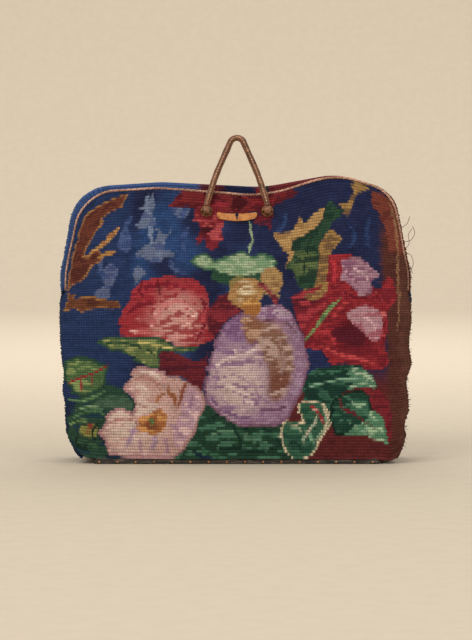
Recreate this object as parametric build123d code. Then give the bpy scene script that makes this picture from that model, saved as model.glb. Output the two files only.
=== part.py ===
"""A carpet bag of about 1860: woven carpet panels on a leather-covered base board, with a hinged
iron mouth frame that opens like a clam, a brass-fronted lock and one rolled leather handle.

Millimetres. +X is the bag's right, +Y its back and +Z up. The origin is the middle of the base's
underside. The front half of the mouth turns about the hinge pins, the handle about the bars of its
two mounts, and the lock bolt slides along X.
"""

from build123d import *
import os
from math import asin, atan2, cos, degrees, hypot, radians, sin, tan

os.makedirs("parts", exist_ok=True)

# ---- the bag's own sizes
bag_width = 502.0  # over the gussets, below the hinge
bag_depth = 128.0  # where the body bulges most
mouth_width = 487.0  # over the front half of the mouth, at the hinge
mouth_top = 390.0  # height of the mouth's edge, left of the middle
hinge_height = 240.0
carpet = 3.0  # thickness of the carpet with its lining
base_length = 410.0
base_depth = 104.0
base_thickness = 10.0
base_corner = 8.0

# ---- the mouth's edge, which has sagged at the lock and risen to the right of it
corner_lean = 23.0  # how far each top corner leans in from the hinge
shoulder_in = 135.0  # from the left end of the mouth to where the sag starts
sag = 9.5
sag_right = 38.0  # lowest place, right of the middle
crest = 21.0
crest_in = 100.0  # from the right end of the mouth
straight_at_hinge = 30.0  # from the hinge up to where the edge starts to lean in
corner_radius = 60.0
edge_bend_radii = [120.0, corner_radius, 150.0, 200.0, 105.0, corner_radius - 10.0, 120.0]
back_rise = 9.0  # how far the back half's edge stands out past the front's
mouth_gap = 2.0  # between the closed halves

# ---- how deep each half is
rim_depth = 14.5  # half depth along the top edge
side_rim = 12.0  # flat rim beside the frame
band_tilt = 11.0  # slope of the stiff band that holds the lock, degrees
band_height = 60.0
fold_angle = 34.0  # slope of the fold from the hinge down to the front, degrees
fold_gap = 2.0  # degrees between the two parts of the front panel at the fold

# ---- iron frame and its hinge pins
strip_width = 8.0
strip_thickness = 2.0
strip_play = 0.3  # between frame and carpet, and between the two ears
ear_radius = 9.0
ear_reach = 19.0
pin_radius = 2.5
pin_play = 0.06
pin_head_radius = 4.5
pin_head = 1.5

# ---- piping
piping_radius = 1.8
piping_depth = 11.5

# ---- handle and its two mounts
handle_span = 87.0  # between the mounts
handle_rise = 106.6  # from the pins to the middle of the roll at the top
handle_radius = 4.7
handle_crown_radius = 10.2
handle_knee = (12.5, 50.0)  # in from the foot, up from the pins
foot_straight = 8.0
handle_clearance = 0.6  # between the roll and the mouth's edge that it leans on
mount_below = 30.0  # from the mouth's edge down to their rivets
mount_plate_radius = 8.5
mount_plate = 1.5
bar_radius = 1.7
bar_play = 0.08
post_spread = 14.0
eye_clearance = 0.7
shank_radius = 2.0
backplate_radius = 7.0
backplate = 1.2

# ---- lock
plate_width = 58.0
plate_height = 13.5
plate_dip = 2.5  # how far the plate's top edge dips in the middle
plate_thickness = 1.2
plate_below = 38.0  # from the mouth's edge down to its middle
keyhole_radius = 2.3
keyhole_slot = 2.0
keyhole_drop = 6.5
plate_pin_radius = 0.9
plate_pin_head = 1.6
plate_pin_at = 25.0
case_width = 58.0
case_height = 34.0
case_depth = 14.0
case_wall = 1.2
bolt_length = 24.0
bolt_height = 7.0
bolt_depth = 4.0
bolt_play = 0.15
bolt_notch = 3.0
guide_places = (-18.0, -7.0)  # left faces of the bolt's two guides
guide = 3.0
staple_thickness = 3.0
staple_height = 14.0
staple_eye = 9.0

half_width, half_depth = bag_width / 2, bag_depth / 2
mouth_half = mouth_width / 2
half_gap = mouth_gap / 2
mount_height = mouth_top - mount_below
plate_centre = mouth_top - plate_below


def limited(points, radii):
    """Each bend's radius, or the largest that its two runs leave room for."""
    made = []
    for i, wanted in enumerate(radii):
        before, here, after = (Vector(*p) for p in points[i : i + 3])
        turn = radians((here - before).get_angle(after - here))
        room = 0.45 * min((here - before).length, (after - here).length)
        made.append(min(wanted, room / tan(turn / 2)))
    return made


def edge_points(rise):
    """Corners of the mouth's edge, from below the left hinge over the top to below the right one.
    The back half's stands out by rise, as far as the crest."""
    bend, corner = hinge_height + straight_at_hinge, mouth_half - corner_lean
    return [
        (-mouth_half - rise, hinge_height - half_depth),
        (-mouth_half - rise, bend),
        (-corner - 0.8 * rise, mouth_top - 6 + 0.9 * rise),
        (shoulder_in - mouth_half, mouth_top + 1 + rise),
        (sag_right, mouth_top - sag + 1.4 * rise),
        (mouth_half - crest_in, mouth_top + crest),
        (corner, mouth_top - 4),
        (mouth_half, bend),
        (mouth_half, hinge_height - half_depth),
    ]


def edge_line(rise=0.0):
    points = edge_points(rise)
    return Plane.XZ * FilletPolyline(*points, radius=limited(points, edge_bend_radii))


def outline(inset=0.0, rise=0.0):
    """The mouth's outline as a face in the XZ plane, closed across below the hinge."""
    line = edge_line(rise)
    face = make_face([*line.edges(), Line(line @ 1, line @ 0)])
    return offset(face, amount=-inset, kind=Kind.INTERSECTION) if inset else face


def through(face, near, far):
    """A face of the XZ plane, made solid from depth near to depth far along Y."""
    return Pos(0, near, 0) * extrude(face, amount=far - near, dir=(0, 1, 0))


def block(x, y, z):
    """A box from its three ranges."""
    size = [high - low for low, high in (x, y, z)]
    return Pos(*[(low + high) / 2 for low, high in (x, y, z)]) * Box(*size)


def rod(centre, radius, length, axis=Axis.X):
    """A round bar about its middle."""
    turned = Plane(origin=centre, z_dir=axis.direction)
    return turned * Cylinder(radius, length)


def band_depth(height):
    """Half depth of the stiff band under the mouth's top edge."""
    return rim_depth + (mouth_top + rim_depth - height) * tan(radians(band_tilt))


# ---- the soft body, as levels of (height, half width, half depth, half depth of the side)
def lower_levels():
    side = base_depth / 2
    return [
        (base_thickness, base_length / 2 + carpet, side - 2, side - 10),
        (base_thickness + 8, half_width - 25, side + 3, side - 7),
        (base_thickness + 22, half_width - 13, side + 7, side - 6),
        (base_thickness + 50, half_width - 7, half_depth - 2, side - 7),
        (hinge_height / 2, half_width - 3, half_depth, side - 14),
        (hinge_height * 0.75, half_width, half_depth - 1.5, side - 25),
        (hinge_height - 4, half_width, half_depth - 3, side - 37),
    ]


def upper_levels(width):
    band_foot = mouth_top - band_height
    return [
        (hinge_height + 4, width, half_depth - 11, side_rim),
        (hinge_height + 45, width, half_depth - 18, side_rim),
        (band_foot - 15, width, band_depth(band_foot) + 6, side_rim),
        (band_foot, width, band_depth(band_foot), side_rim),
        (mouth_top + 40, width, band_depth(mouth_top + 40), side_rim - 5),
    ]


def half_body(levels, inset=0.0, mouth=half_gap):
    """The front half of the body as one filled solid: flat sides and a bulging face."""
    sections = []
    for height, width, depth, side in levels:
        wide, deep = width - inset, depth - inset
        rim = min(side - inset / 2, deep - 1.5)
        face = EllipticalCenterArc((0, -rim), wide, deep - rim, 180, arc_size=180)
        left, right = (-wide, -rim), (wide, -rim)
        edges = [
            Line((-wide, -mouth), left),
            face,
            Line(right, (wide, -mouth)),
            Line((wide, -mouth), (-wide, -mouth)),
        ]
        sections.append(Pos(0, 0, height) * make_face(edges))
    return loft(sections, ruled=True)


def shell(levels, rise=0.0, whole_below=0.0):
    """A half body, hollowed, whose lip stands out past the mouth's outline by rise."""
    reach = 2 * half_depth
    below = block((-bag_width, bag_width), (-reach, reach), (-1, whole_below))
    solid = half_body(levels) & (through(outline(rise=rise), -reach, reach) + below)
    hollow = half_body(levels, inset=carpet, mouth=-half_gap)
    return solid - (hollow & (through(outline(carpet), -reach, reach) + below))


def gusset_plate(side, spread=0.0):
    """One side wall below the hinge, tapering up to it. Spread thickens it for cutting."""
    sections = []
    for height, width, _, rim in lower_levels():
        middle = side * (width - carpet / 2)
        plate = Plane.XY.offset(height) * Pos(middle, 0) * Rectangle(carpet + spread, 2 * rim)
        sections.append(plate)
    return loft(sections, ruled=True)


def fold_wedge(angle):
    """Everything in front of the hinge and above a plane that slopes from it at this angle."""
    far = 4 * half_depth
    corner = (0, hinge_height)
    low = (-far, hinge_height - far * tan(radians(angle)))
    wedge = Plane.YZ * make_face(Polyline(corner, low, (-far, 2 * mouth_top), (0, 2 * mouth_top), corner))
    return Pos(-bag_width, 0, 0) * extrude(wedge, amount=2 * bag_width, dir=(1, 0, 0))


def at_front(x, height):
    """A plane on the stiff band's face: its x runs along +X and its z out of the carpet."""
    out = Vector(0, -cos(radians(band_tilt)), sin(radians(band_tilt)))
    return Plane(origin=(x, -band_depth(height), height), x_dir=(1, 0, 0), z_dir=out)


# ---- carpet panels
def front_panel_upper():
    levels = [(hinge_height - half_depth, mouth_half, half_depth - 8, side_rim)]
    levels += upper_levels(mouth_half)
    panel = shell(levels) & fold_wedge(fold_angle)
    for side in (-1, 1):
        hole = at_front(side * handle_span / 2, mount_height) * Cylinder(shank_radius, 4 * carpet)
        panel -= hole
        panel -= at_front(side * plate_pin_at, plate_centre) * Cylinder(plate_pin_radius, 4 * carpet)
    return panel - at_front(0, plate_centre) * extrude(keyhole(), amount=2 * carpet, both=True)


def front_panel_lower():
    levels = lower_levels()
    panel = half_body(levels) - half_body(levels, inset=carpet, mouth=-half_gap)
    panel -= fold_wedge(fold_angle + fold_gap)
    for side in (-1, 1):
        panel -= gusset_plate(side, spread=0.02)
    return panel


def back_panel():
    """The whole back, in one piece. Its top edge is a padded lip that stands past the front's."""
    levels = lower_levels()[:-1] + [(hinge_height, half_width, half_depth - 4, side_rim + 1)]
    levels += upper_levels(half_width)[1:]
    panel = mirror(shell(levels, back_rise, hinge_height), about=Plane.XZ)
    for side in (-1, 1):
        panel -= gusset_plate(side, spread=0.02)
    below_hinge = block((-bag_width, bag_width), (-1, side_rim), (0, hinge_height - 4))
    return panel - below_hinge


def bottom_panel():
    _, width, depth, side = lower_levels()[0]
    wide, rim = width - carpet, side - carpet / 2
    floor = Rectangle(2 * wide, 2 * rim)
    for end in (-1, 1):
        floor += Pos(0, end * rim) * Ellipse(wide, depth - carpet - rim)
    return extrude(Plane.XY.offset(base_thickness) * floor, amount=carpet)


def base_board():
    board = Pos(0, 0, base_thickness / 2) * Box(base_length, base_depth, base_thickness)
    return fillet(board.edges().filter_by(Axis.Z), base_corner)


# ---- iron frame
def frame_strip(near, far):
    outer, inner = carpet + strip_play, carpet + strip_play + strip_thickness
    return through(outline(outer) - outline(inner), near, far)


def ear_layer(side, layer):
    """The X range of an ear: layer 0 is in line with the strip and layer 1 lies inside it."""
    outer = mouth_half - carpet - strip_play - layer * (strip_thickness + strip_play)
    return sorted((side * outer, side * (outer - strip_thickness)))


def ear(side, layer):
    low, high = ear_layer(side, layer)
    return rod(((low + high) / 2, 0, hinge_height), ear_radius, strip_thickness)


def back_frame():
    strip = frame_strip(half_gap, half_gap + strip_width)
    strip -= block((-bag_width, bag_width), (-bag_depth, bag_depth), (0, hinge_height))
    for side in (-1, 1):
        strip += ear(side, 0)
        strip -= rod((side * mouth_half, 0, hinge_height), pin_radius, mouth_half / 4)
    return strip


def front_frame():
    strip = frame_strip(-half_gap - strip_width, -half_gap)
    cut = hinge_height + ear_radius + 1.5
    strip -= block((-bag_width, bag_width), (-bag_depth, bag_depth), (0, cut))
    for side in (-1, 1):
        depth = (-half_gap - strip_width, -half_gap)
        arm = block(ear_layer(side, 1), depth, (hinge_height, hinge_height + ear_reach))
        inner, outer = ear_layer(side, 1), ear_layer(side, 0)
        joggle = block(
            (min(inner + outer), max(inner + outer)),
            depth,
            (cut + 1.5, hinge_height + ear_reach),
        )
        strip += ear(side, 1) + arm + joggle
        bore = pin_radius + pin_play
        strip -= rod((side * mouth_half, 0, hinge_height), bore, mouth_half / 4)
    return strip


def hinge_pin(side):
    """Flush with the outer ear, with a head inside the inner one."""
    start = side * (mouth_half - carpet - strip_play)
    inner = min(ear_layer(side, 1), key=abs) if side > 0 else max(ear_layer(side, 1))
    end = inner - side * 0.1
    shank = rod(((start + end) / 2, 0, hinge_height), pin_radius, abs(start - end))
    head = rod((end - side * pin_head / 2, 0, hinge_height), pin_head_radius, pin_head)
    return shank + head


def front_piping():
    """A cord along the front edge of the mouth, lying on the carpet's rim."""
    cord_offset = piping_radius + 0.1
    line = offset(edge_line(), amount=cord_offset, side=Side.LEFT, closed=False)
    start = Plane(origin=line @ 0, z_dir=line % 0)
    cord = Pos(0, -piping_depth, 0) * sweep(start * Circle(piping_radius), path=line)
    return cord & fold_wedge(-8)


# ---- lock
def keyhole():
    """A round hole with a slot below it."""
    slot = Pos(0, -keyhole_drop / 2) * Rectangle(keyhole_slot, keyhole_drop)
    return Pos(0, keyhole_drop / 2 - 1) * (Circle(keyhole_radius) + slot)


def plate_outline():
    """The lock plate: a slightly hollow top edge, round ends and a bellied bottom."""
    end, top, foot = plate_width / 2, plate_height / 2, -plate_height / 2
    shoulder, tip, hip = (end - 2, top - 0.5), (end, top - 4), (end - 5.5, foot + 3.2)
    edges = [
        ThreePointArc((-shoulder[0], shoulder[1]), (0, top - plate_dip), shoulder),
        ThreePointArc((-hip[0], hip[1]), (0, foot), hip),
    ]
    for arc in ((shoulder, (end - 0.5, top - 1.7), tip), (tip, (end - 1.6, foot + 5.6), hip)):
        for side in (-1, 1):
            edges.append(ThreePointArc(*[(side * x, y) for x, y in arc]))
    return make_face(edges)


def lock_plate():
    plate = extrude(plate_outline() - keyhole(), amount=plate_thickness)
    plate = fillet(plate.faces().sort_by(Axis.Z)[-1].outer_wire().edges(), 0.4)
    for side in (-1, 1):
        plate -= Pos(side * plate_pin_at, 0, 0) * Cylinder(plate_pin_radius, 4 * plate_thickness)
    return at_front(0, plate_centre) * Pos(0, 0, 0.1) * plate


def plate_pins():
    """Two domed brass pins, through the plate and the carpet."""
    pins = []
    for side in (-1, 1):
        length = carpet + plate_thickness
        shank = Pos(0, 0, plate_thickness + 0.1 - length / 2) * Cylinder(plate_pin_radius, length)
        dome = Sphere(plate_pin_head) & Pos(0, 0, plate_pin_head) * Box(*[2 * plate_pin_head] * 3)
        dome = Pos(0, 0, plate_thickness + 0.1) * scale(dome, by=(1, 1, 0.6))
        pins.append(at_front(side * plate_pin_at, plate_centre) * (shank + dome))
    return Compound(children=pins)


case_front = -half_gap - case_depth - 1.0
case_back = -half_gap - 1.0
case_low = plate_centre - case_height / 2 + 2
case_high = case_low + case_height
bolt_y = (case_front + case_back) / 2 - 1
bolt_z = case_high - 12
staple_reach = bolt_y - bolt_depth / 2 - 2.2
bolt_tip = -staple_thickness / 2 - 1.5


def lock_case():
    """A thin box hung from the front frame by a tab, open at the back for the staple."""
    half = case_width / 2
    outside = block((-half, half), (case_front, case_back), (case_low, case_high))
    w = case_wall
    hollow = block(
        (-half + w, half - w), (case_front + w, case_back - w), (case_low + w, case_high - w)
    )
    case = outside - hollow
    slot = staple_thickness / 2 + 1.2
    high = staple_height / 2 + 2.5
    case -= block((-slot, slot), (case_back - 2 * w, case_back + w), (bolt_z - high, bolt_z + high))
    under_strip = outline(carpet + strip_play + strip_thickness)
    tab = block((-12, 12), (case_back - 3.2, case_back), (case_high - w, mouth_top))
    case += tab & through(under_strip, -half_depth, half_depth)
    key_way = Plane.XZ * Pos(0, plate_centre + 0.8) * keyhole()
    key_way = extrude(key_way, amount=bag_depth, dir=(0, -1, 0))
    case -= Pos(0, case_front + 2 * w, 0) * key_way
    window = block(
        (-half, 0),
        (bolt_y - bolt_depth / 2 - bolt_play, bolt_y + bolt_depth / 2 + bolt_play),
        (bolt_z - bolt_height / 2 - bolt_play, bolt_z + bolt_height / 2 + bolt_play),
    )
    for low in guide_places:
        depth = (case_front + w, case_back - w)
        case += block((low, low + guide), depth, (bolt_z - 6.5, bolt_z + 6.5)) - window
    return case


def lock_bolt():
    """A bar that slides through the staple's eye, with a notch underneath for the key's bit."""
    bottom = bolt_z - bolt_height / 2
    depth = (bolt_y - bolt_depth / 2, bolt_y + bolt_depth / 2)
    bar = block((bolt_tip - bolt_length, bolt_tip), depth, (bottom, bottom + bolt_height))
    return bar - block((bolt_tip - 10, bolt_tip - 6), depth, (bottom, bottom + bolt_notch))


def lock_staple():
    """A plate on the back frame, with an eye that stands through the lock's slot."""
    low, high = bolt_z - staple_height / 2, bolt_z + staple_height / 2
    half = staple_thickness / 2
    plate = block((-half, half), (staple_reach, half_gap + 2), (low, high))
    plate -= block(
        (-half, half),
        (bolt_y - bolt_depth / 2 - 0.9, bolt_y + bolt_depth / 2 + 2.1),
        (bolt_z - staple_eye / 2, bolt_z + staple_eye / 2),
    )
    leaf = block((-11, 11), (half_gap + 2, half_gap + 4), (low - 2, mouth_top))
    leaf &= through(outline(carpet + strip_play + strip_thickness), -half_depth, half_depth)
    return plate + leaf


# ---- handle
bar_out = mount_plate + handle_radius + eye_clearance
foot = at_front(handle_span / 2, mount_height).from_local_coords((0, 0, bar_out))
edge_reach = (-band_depth(mouth_top) - foot.Y, mouth_top - foot.Z)
lean = degrees(
    atan2(-edge_reach[0], -edge_reach[1])
    if edge_reach[1] < 0
    else atan2(edge_reach[0], edge_reach[1])
) - degrees(asin((handle_radius + handle_clearance) / hypot(*edge_reach)))


def handle_mount(side):
    """A brass plate with two posts and a bar between them, riveted through the carpet."""
    body = Pos(0, 0, 0.1 + mount_plate / 2) * Cylinder(mount_plate_radius, mount_plate)
    body = fillet(body.faces().sort_by(Axis.Z)[-1].edges(), 0.5)
    post = bar_out - mount_plate
    for end in (-1, 1):
        at = end * post_spread / 2
        body += Pos(at, 0, mount_plate + post / 2) * Cylinder(bar_radius, post)
        body += Pos(at, 0, bar_out) * Sphere(bar_radius)
    body += Pos(0, 0, bar_out) * Rot(0, 90, 0) * Cylinder(bar_radius, post_spread)
    length = carpet / cos(radians(band_tilt)) + backplate + 0.6
    body += Pos(0, 0, 0.2 - length / 2) * Cylinder(shank_radius, length)
    return at_front(side * handle_span / 2, mount_height) * body


def mount_backplate(side):
    """The washer inside the bag that the mount's rivet is closed over."""
    ring = Cylinder(backplate_radius, backplate) - Cylinder(shank_radius, 2 * backplate)
    depth = carpet + 0.2 + backplate / 2
    return at_front(side * handle_span / 2, mount_height) * Pos(0, 0, -depth) * ring


def handle_crown():
    """Height above the pins where the two legs' lines would meet."""
    across, up = handle_span / 2 - handle_knee[0], handle_knee[1]
    low, high = handle_rise, 3 * handle_rise
    for _ in range(40):
        middle = (low + high) / 2
        slope = atan2(across, middle - up)
        top = middle - handle_crown_radius * (1 / sin(slope) - 1)
        low, high = (middle, high) if top < handle_rise else (low, middle)
    return middle


def handle():
    """A rolled leather grip in one piece, with an eye at each foot for the mount's bar."""
    out, knee_in, knee_up = handle_span / 2, handle_span / 2 - handle_knee[0], handle_knee[1]
    left = [(-out, 0), (-out, foot_straight), (-knee_in, knee_up)]
    right = [(-x, z) for x, z in reversed(left)]
    points = [*left, (0, handle_crown()), *right]
    radii = [20.0, 300.0, handle_crown_radius, 300.0, 20.0]
    line = Plane.XZ * FilletPolyline(*points, radius=limited(points, radii))
    start = Plane(origin=line @ 0, z_dir=line % 0)
    grip = sweep(start * Circle(handle_radius), path=line)
    width = post_spread - 2 * bar_radius - 0.4
    for end in (-1, 1):
        grip += rod((end * out, 0, 0), handle_radius, width)
        grip -= rod((end * out, 0, 0), bar_radius + bar_play, 2 * width)
    return Pos(0, foot.Y, foot.Z) * Rot(-lean, 0, 0) * grip


NODES = {
    "base_board": base_board,
    "bottom_panel": bottom_panel,
    "front_panel_lower": front_panel_lower,
    "front_panel_upper": front_panel_upper,
    "back_panel": back_panel,
    "gusset_left": lambda: gusset_plate(-1),
    "gusset_right": lambda: gusset_plate(1),
    "back_frame": back_frame,
    "front_frame": front_frame,
    "hinge_pin_left": lambda: hinge_pin(-1),
    "hinge_pin_right": lambda: hinge_pin(1),
    "front_piping": front_piping,
    "lock_plate": lock_plate,
    "lock_plate_pins": plate_pins,
    "lock_case": lock_case,
    "lock_bolt": lock_bolt,
    "lock_staple": lock_staple,
    "handle": handle,
    "handle_mount_left": lambda: handle_mount(-1),
    "handle_mount_right": lambda: handle_mount(1),
    "mount_backplate_left": lambda: mount_backplate(-1),
    "mount_backplate_right": lambda: mount_backplate(1),
}

for name, make in NODES.items():
    export_step(make(), f"parts/{name}.step")
print("handle leans back", round(lean, 2), "degrees; pins at y", round(foot.Y, 2), "z", round(foot.Z, 2))
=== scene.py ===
# Carpet bag: floral woven carpet on an iron mouth frame, with a brass lock plate and a rolled leather handle.
# Lengths are in millimetres until a mesh is written. x is across, y runs to the back and z is up.

import math

import bpy
import numpy as np
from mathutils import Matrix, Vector


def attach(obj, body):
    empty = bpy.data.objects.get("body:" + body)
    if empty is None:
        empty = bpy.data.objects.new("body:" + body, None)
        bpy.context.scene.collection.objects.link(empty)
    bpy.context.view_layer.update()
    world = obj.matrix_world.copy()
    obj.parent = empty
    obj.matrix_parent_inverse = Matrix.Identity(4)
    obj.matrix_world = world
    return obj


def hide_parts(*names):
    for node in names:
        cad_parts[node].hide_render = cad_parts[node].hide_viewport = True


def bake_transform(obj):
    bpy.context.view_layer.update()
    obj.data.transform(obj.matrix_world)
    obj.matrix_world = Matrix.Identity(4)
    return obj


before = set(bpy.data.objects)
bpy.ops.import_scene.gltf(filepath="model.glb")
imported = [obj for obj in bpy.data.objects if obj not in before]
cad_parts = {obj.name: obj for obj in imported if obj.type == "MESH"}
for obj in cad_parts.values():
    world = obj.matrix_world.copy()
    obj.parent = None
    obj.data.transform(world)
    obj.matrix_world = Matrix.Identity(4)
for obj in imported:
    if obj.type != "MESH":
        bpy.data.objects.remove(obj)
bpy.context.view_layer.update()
metresPerMillimetre = 0.001
print("frame loaded:", len(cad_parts), "nodes")


def colourOf(code):
    # hex colour to linear light
    value = np.array([int(code[i : i + 2], 16) / 255 for i in (0, 2, 4)])
    return np.where(value <= 0.04045, value / 12.92, ((value + 0.055) / 1.055) ** 2.4)


def smoothTable(stations, values, spread=9.0):
    # a curve through a table of values with its corners rounded off
    fine = np.arange(-60.0, 520.0, 1.0)  # well past the bag's lowest and highest points
    rough = np.interp(fine, stations, values)
    taps = np.hanning(int(2 * spread) + 1)
    padded = np.pad(rough, len(taps) // 2, mode="edge")
    soft = np.convolve(padded, taps / taps.sum(), mode="valid")
    return lambda z: np.interp(z, fine, soft)


def ramp(low, high, value):
    t = np.clip((value - low) / (high - low), 0, 1)
    return t * t * (3 - 2 * t)


def smoothLoop(points, steps=5, closed=True):
    # a smooth line through the points
    points = np.array(points, float)
    count = len(points)
    if closed:
        around = lambda i: points[i % count]
    else:
        around = lambda i: points[min(max(i, 0), count - 1)]
    line = []
    for i in range(count if closed else count - 1):
        a, b, c, d = around(i - 1), around(i), around(i + 1), around(i + 2)
        for k in range(steps):
            t = k / steps
            bend = (2 * a - 5 * b + 4 * c - d) * t * t + (3 * b - a - 3 * c + d) * t**3
            line.append(b + 0.5 * ((c - a) * t + bend))
    if not closed:
        line.append(points[-1])
    return np.array(line)


def roundedLine(corners, radii, pieces=10):
    # straight runs joined by arcs
    corners = [np.array(c, float) for c in corners]
    line = [corners[0]]
    for (before, here, after), radius in zip(zip(corners, corners[1:], corners[2:]), radii):
        a, b = before - here, after - here
        roomA, roomB = np.linalg.norm(a), np.linalg.norm(b)
        a, b = a / roomA, b / roomB
        turn = math.pi - math.acos(np.clip(a @ b, -1, 1))
        reach = min(radius * math.tan(turn / 2), 0.45 * min(roomA, roomB))
        radius = reach / math.tan(turn / 2)
        middle = here + (a + b) / np.linalg.norm(a + b) * radius / math.cos(turn / 2)
        arm = here + a * reach - middle
        sign = 1 if a[1] * b[0] - a[0] * b[1] > 0 else -1
        for k in range(pieces + 1):
            angle = sign * turn * k / pieces
            c, s = math.cos(angle), math.sin(angle)
            line.append(middle + np.array([c * arm[0] - s * arm[1], s * arm[0] + c * arm[1]]))
    line.append(corners[-1])
    return np.array(line)


def runAlong(line):
    # how far along the line each of its points is
    return np.concatenate([[0], np.cumsum(np.linalg.norm(np.diff(line, axis=0), axis=1))])


def leftOf(line):
    # at each point of a flat line, the direction square to it, on its left
    step = np.gradient(line, axis=0)
    step /= np.linalg.norm(step, axis=1)[:, None]
    return np.stack([-step[:, 1], step[:, 0]], axis=1)


def wander(run, waves):
    # slow changes along a line, from waves given as (size, length / 2 pi, start)
    return sum(size * np.sin(run / length + start) for size, length, start in waves)


def spaced(line, step):
    # the same line with evenly spaced points
    line = np.array(line, float)
    run = runAlong(line)
    stops = np.linspace(0, run[-1], max(2, int(round(run[-1] / step)) + 1))
    return np.stack([np.interp(stops, run, line[:, i]) for i in range(line.shape[1])], axis=1)


def makePiece(name, points, faces, materials, colours=None, uvs=None, slots=None):
    # slots gives the number of each face's material
    mesh = bpy.data.meshes.new(name)
    mesh.from_pydata((np.asarray(points) * metresPerMillimetre).tolist(), [], faces)
    piece = bpy.data.objects.new(name, mesh)
    bpy.context.scene.collection.objects.link(piece)
    for material in materials:
        mesh.materials.append(material)
    mesh.shade_smooth()
    if slots is not None:
        mesh.polygons.foreach_set("material_index", np.asarray(slots, np.int32))
    if uvs is not None:
        layer = mesh.uv_layers.new(name="weave")
        layer.uv.foreach_set("vector", np.asarray(uvs, np.float32).ravel())
    if colours is not None:
        layer = mesh.color_attributes.new("threadColour", "FLOAT_COLOR", "CORNER")
        rgba = np.ones((len(colours), 4), np.float32)
        rgba[:, :3] = colours
        layer.data.foreach_set("color", rgba.ravel())
    mesh.validate()
    mesh.update()
    return piece


def gridFaces(rows, columns, wrap=False):
    faces = []
    for r in range(rows - 1):
        for c in range(columns if wrap else columns - 1):
            d = (c + 1) % columns
            a = r * columns
            faces.append((a + c, a + d, a + columns + d, a + columns + c))
    return faces


def endFaces(rows, columns):
    # closes the first and last row of a wrapped grid
    return [tuple(reversed(range(columns))), tuple(range((rows - 1) * columns, rows * columns))]


def ribSigns(rows):
    # rows of the mesh lie in a gap and on a rib in turn
    return np.where(np.arange(rows) % 2 == 1, 1.0, -1.0)[:, None]


def cellColours(cells):
    # each cell's colour for the corners of its two faces
    return np.repeat(np.repeat(cells, 2, axis=0).reshape(-1, 1, 3), 4, axis=1)


def gridUvs(rows, columns):
    # two mesh rows make a rib, and two columns a pair of threads
    r, c = np.meshgrid(np.arange(rows - 1), np.arange(columns - 1), indexing="ij")
    corners = [(0, 0), (0, 1), (1, 1), (1, 0)]
    uv = [np.stack([(c + dc) / 2, (r + dr) / 2], axis=-1) for dr, dc in corners]
    return np.stack(uv, axis=2).reshape(-1, 2)


def tube(path, radius, sides):
    # a round tube along a 3-D path; radius may change along it
    path = np.asarray(path, float)
    count = len(path)
    radius = np.broadcast_to(radius, count)
    along = np.gradient(path, axis=0)
    along /= np.linalg.norm(along, axis=1)[:, None]
    side = np.cross(along[0], [0.31, 0.87, 0.4])
    points = []
    for i in range(count):
        side = side - along[i] * (side @ along[i])
        side /= np.linalg.norm(side)
        up = np.cross(along[i], side)
        for k in range(sides):
            angle = 2 * math.pi * k / sides
            points.append(path[i] + radius[i] * (math.cos(angle) * side + math.sin(angle) * up))
    faces = gridFaces(count, sides, wrap=True)
    return np.array(points), faces + endFaces(count, sides)


def joined(parts):
    # several (points, faces) as one, with the number of each part's faces
    points, faces, counts = [], [], []
    first = 0
    for somePoints, someFaces in parts:
        points.append(np.asarray(somePoints, float))
        faces.extend(tuple(first + i for i in face) for face in someFaces)
        counts.append(len(someFaces))
        first += len(somePoints)
    return np.concatenate(points), faces, counts


def newGroup(name, inputs, outputs):
    group = bpy.data.node_groups.new(name, "ShaderNodeTree")
    for label, value in inputs.items():
        socket = group.interface.new_socket(label, in_out="INPUT", socket_type="NodeSocketFloat")
        socket.default_value = value
    for label in outputs:
        group.interface.new_socket(label, in_out="OUTPUT", socket_type="NodeSocketFloat")
    return group, group.nodes.new("NodeGroupInput"), group.nodes.new("NodeGroupOutput")


def mathNode(tree, operation, a, b=None):
    node = tree.nodes.new("ShaderNodeMath")
    node.operation = operation
    for socket, value in zip(node.inputs, (a, b)):
        if isinstance(value, (int, float)):
            socket.default_value = value
        elif value is not None:
            tree.links.new(value, socket)
    return node.outputs[0]


def rangeNode(tree, value, low, high, toLow=0.0, toHigh=1.0):
    node = tree.nodes.new("ShaderNodeMapRange")
    node.interpolation_type = "SMOOTHSTEP"
    tree.links.new(value, node.inputs["Value"])
    for label, number in zip(("From Min", "From Max", "To Min", "To Max"), (low, high, toLow, toHigh)):
        node.inputs[label].default_value = number
    return node.outputs["Result"]


def noiseNode(tree, scale, detail, stretch=None):
    # noise in the piece's own space; scale is a number or a socket
    noise = tree.nodes.new("ShaderNodeTexNoise")
    noise.inputs["Detail"].default_value = detail
    if isinstance(scale, float):
        noise.inputs["Scale"].default_value = scale
    else:
        tree.links.new(scale, noise.inputs["Scale"])
    vector = tree.nodes.new("ShaderNodeTexCoord").outputs["Object"]
    if stretch:
        mapping = tree.nodes.new("ShaderNodeMapping")
        mapping.inputs["Scale"].default_value = stretch
        tree.links.new(vector, mapping.inputs["Vector"])
        vector = mapping.outputs["Vector"]
    tree.links.new(vector, noise.inputs["Vector"])
    return noise.outputs["Fac"]


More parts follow.
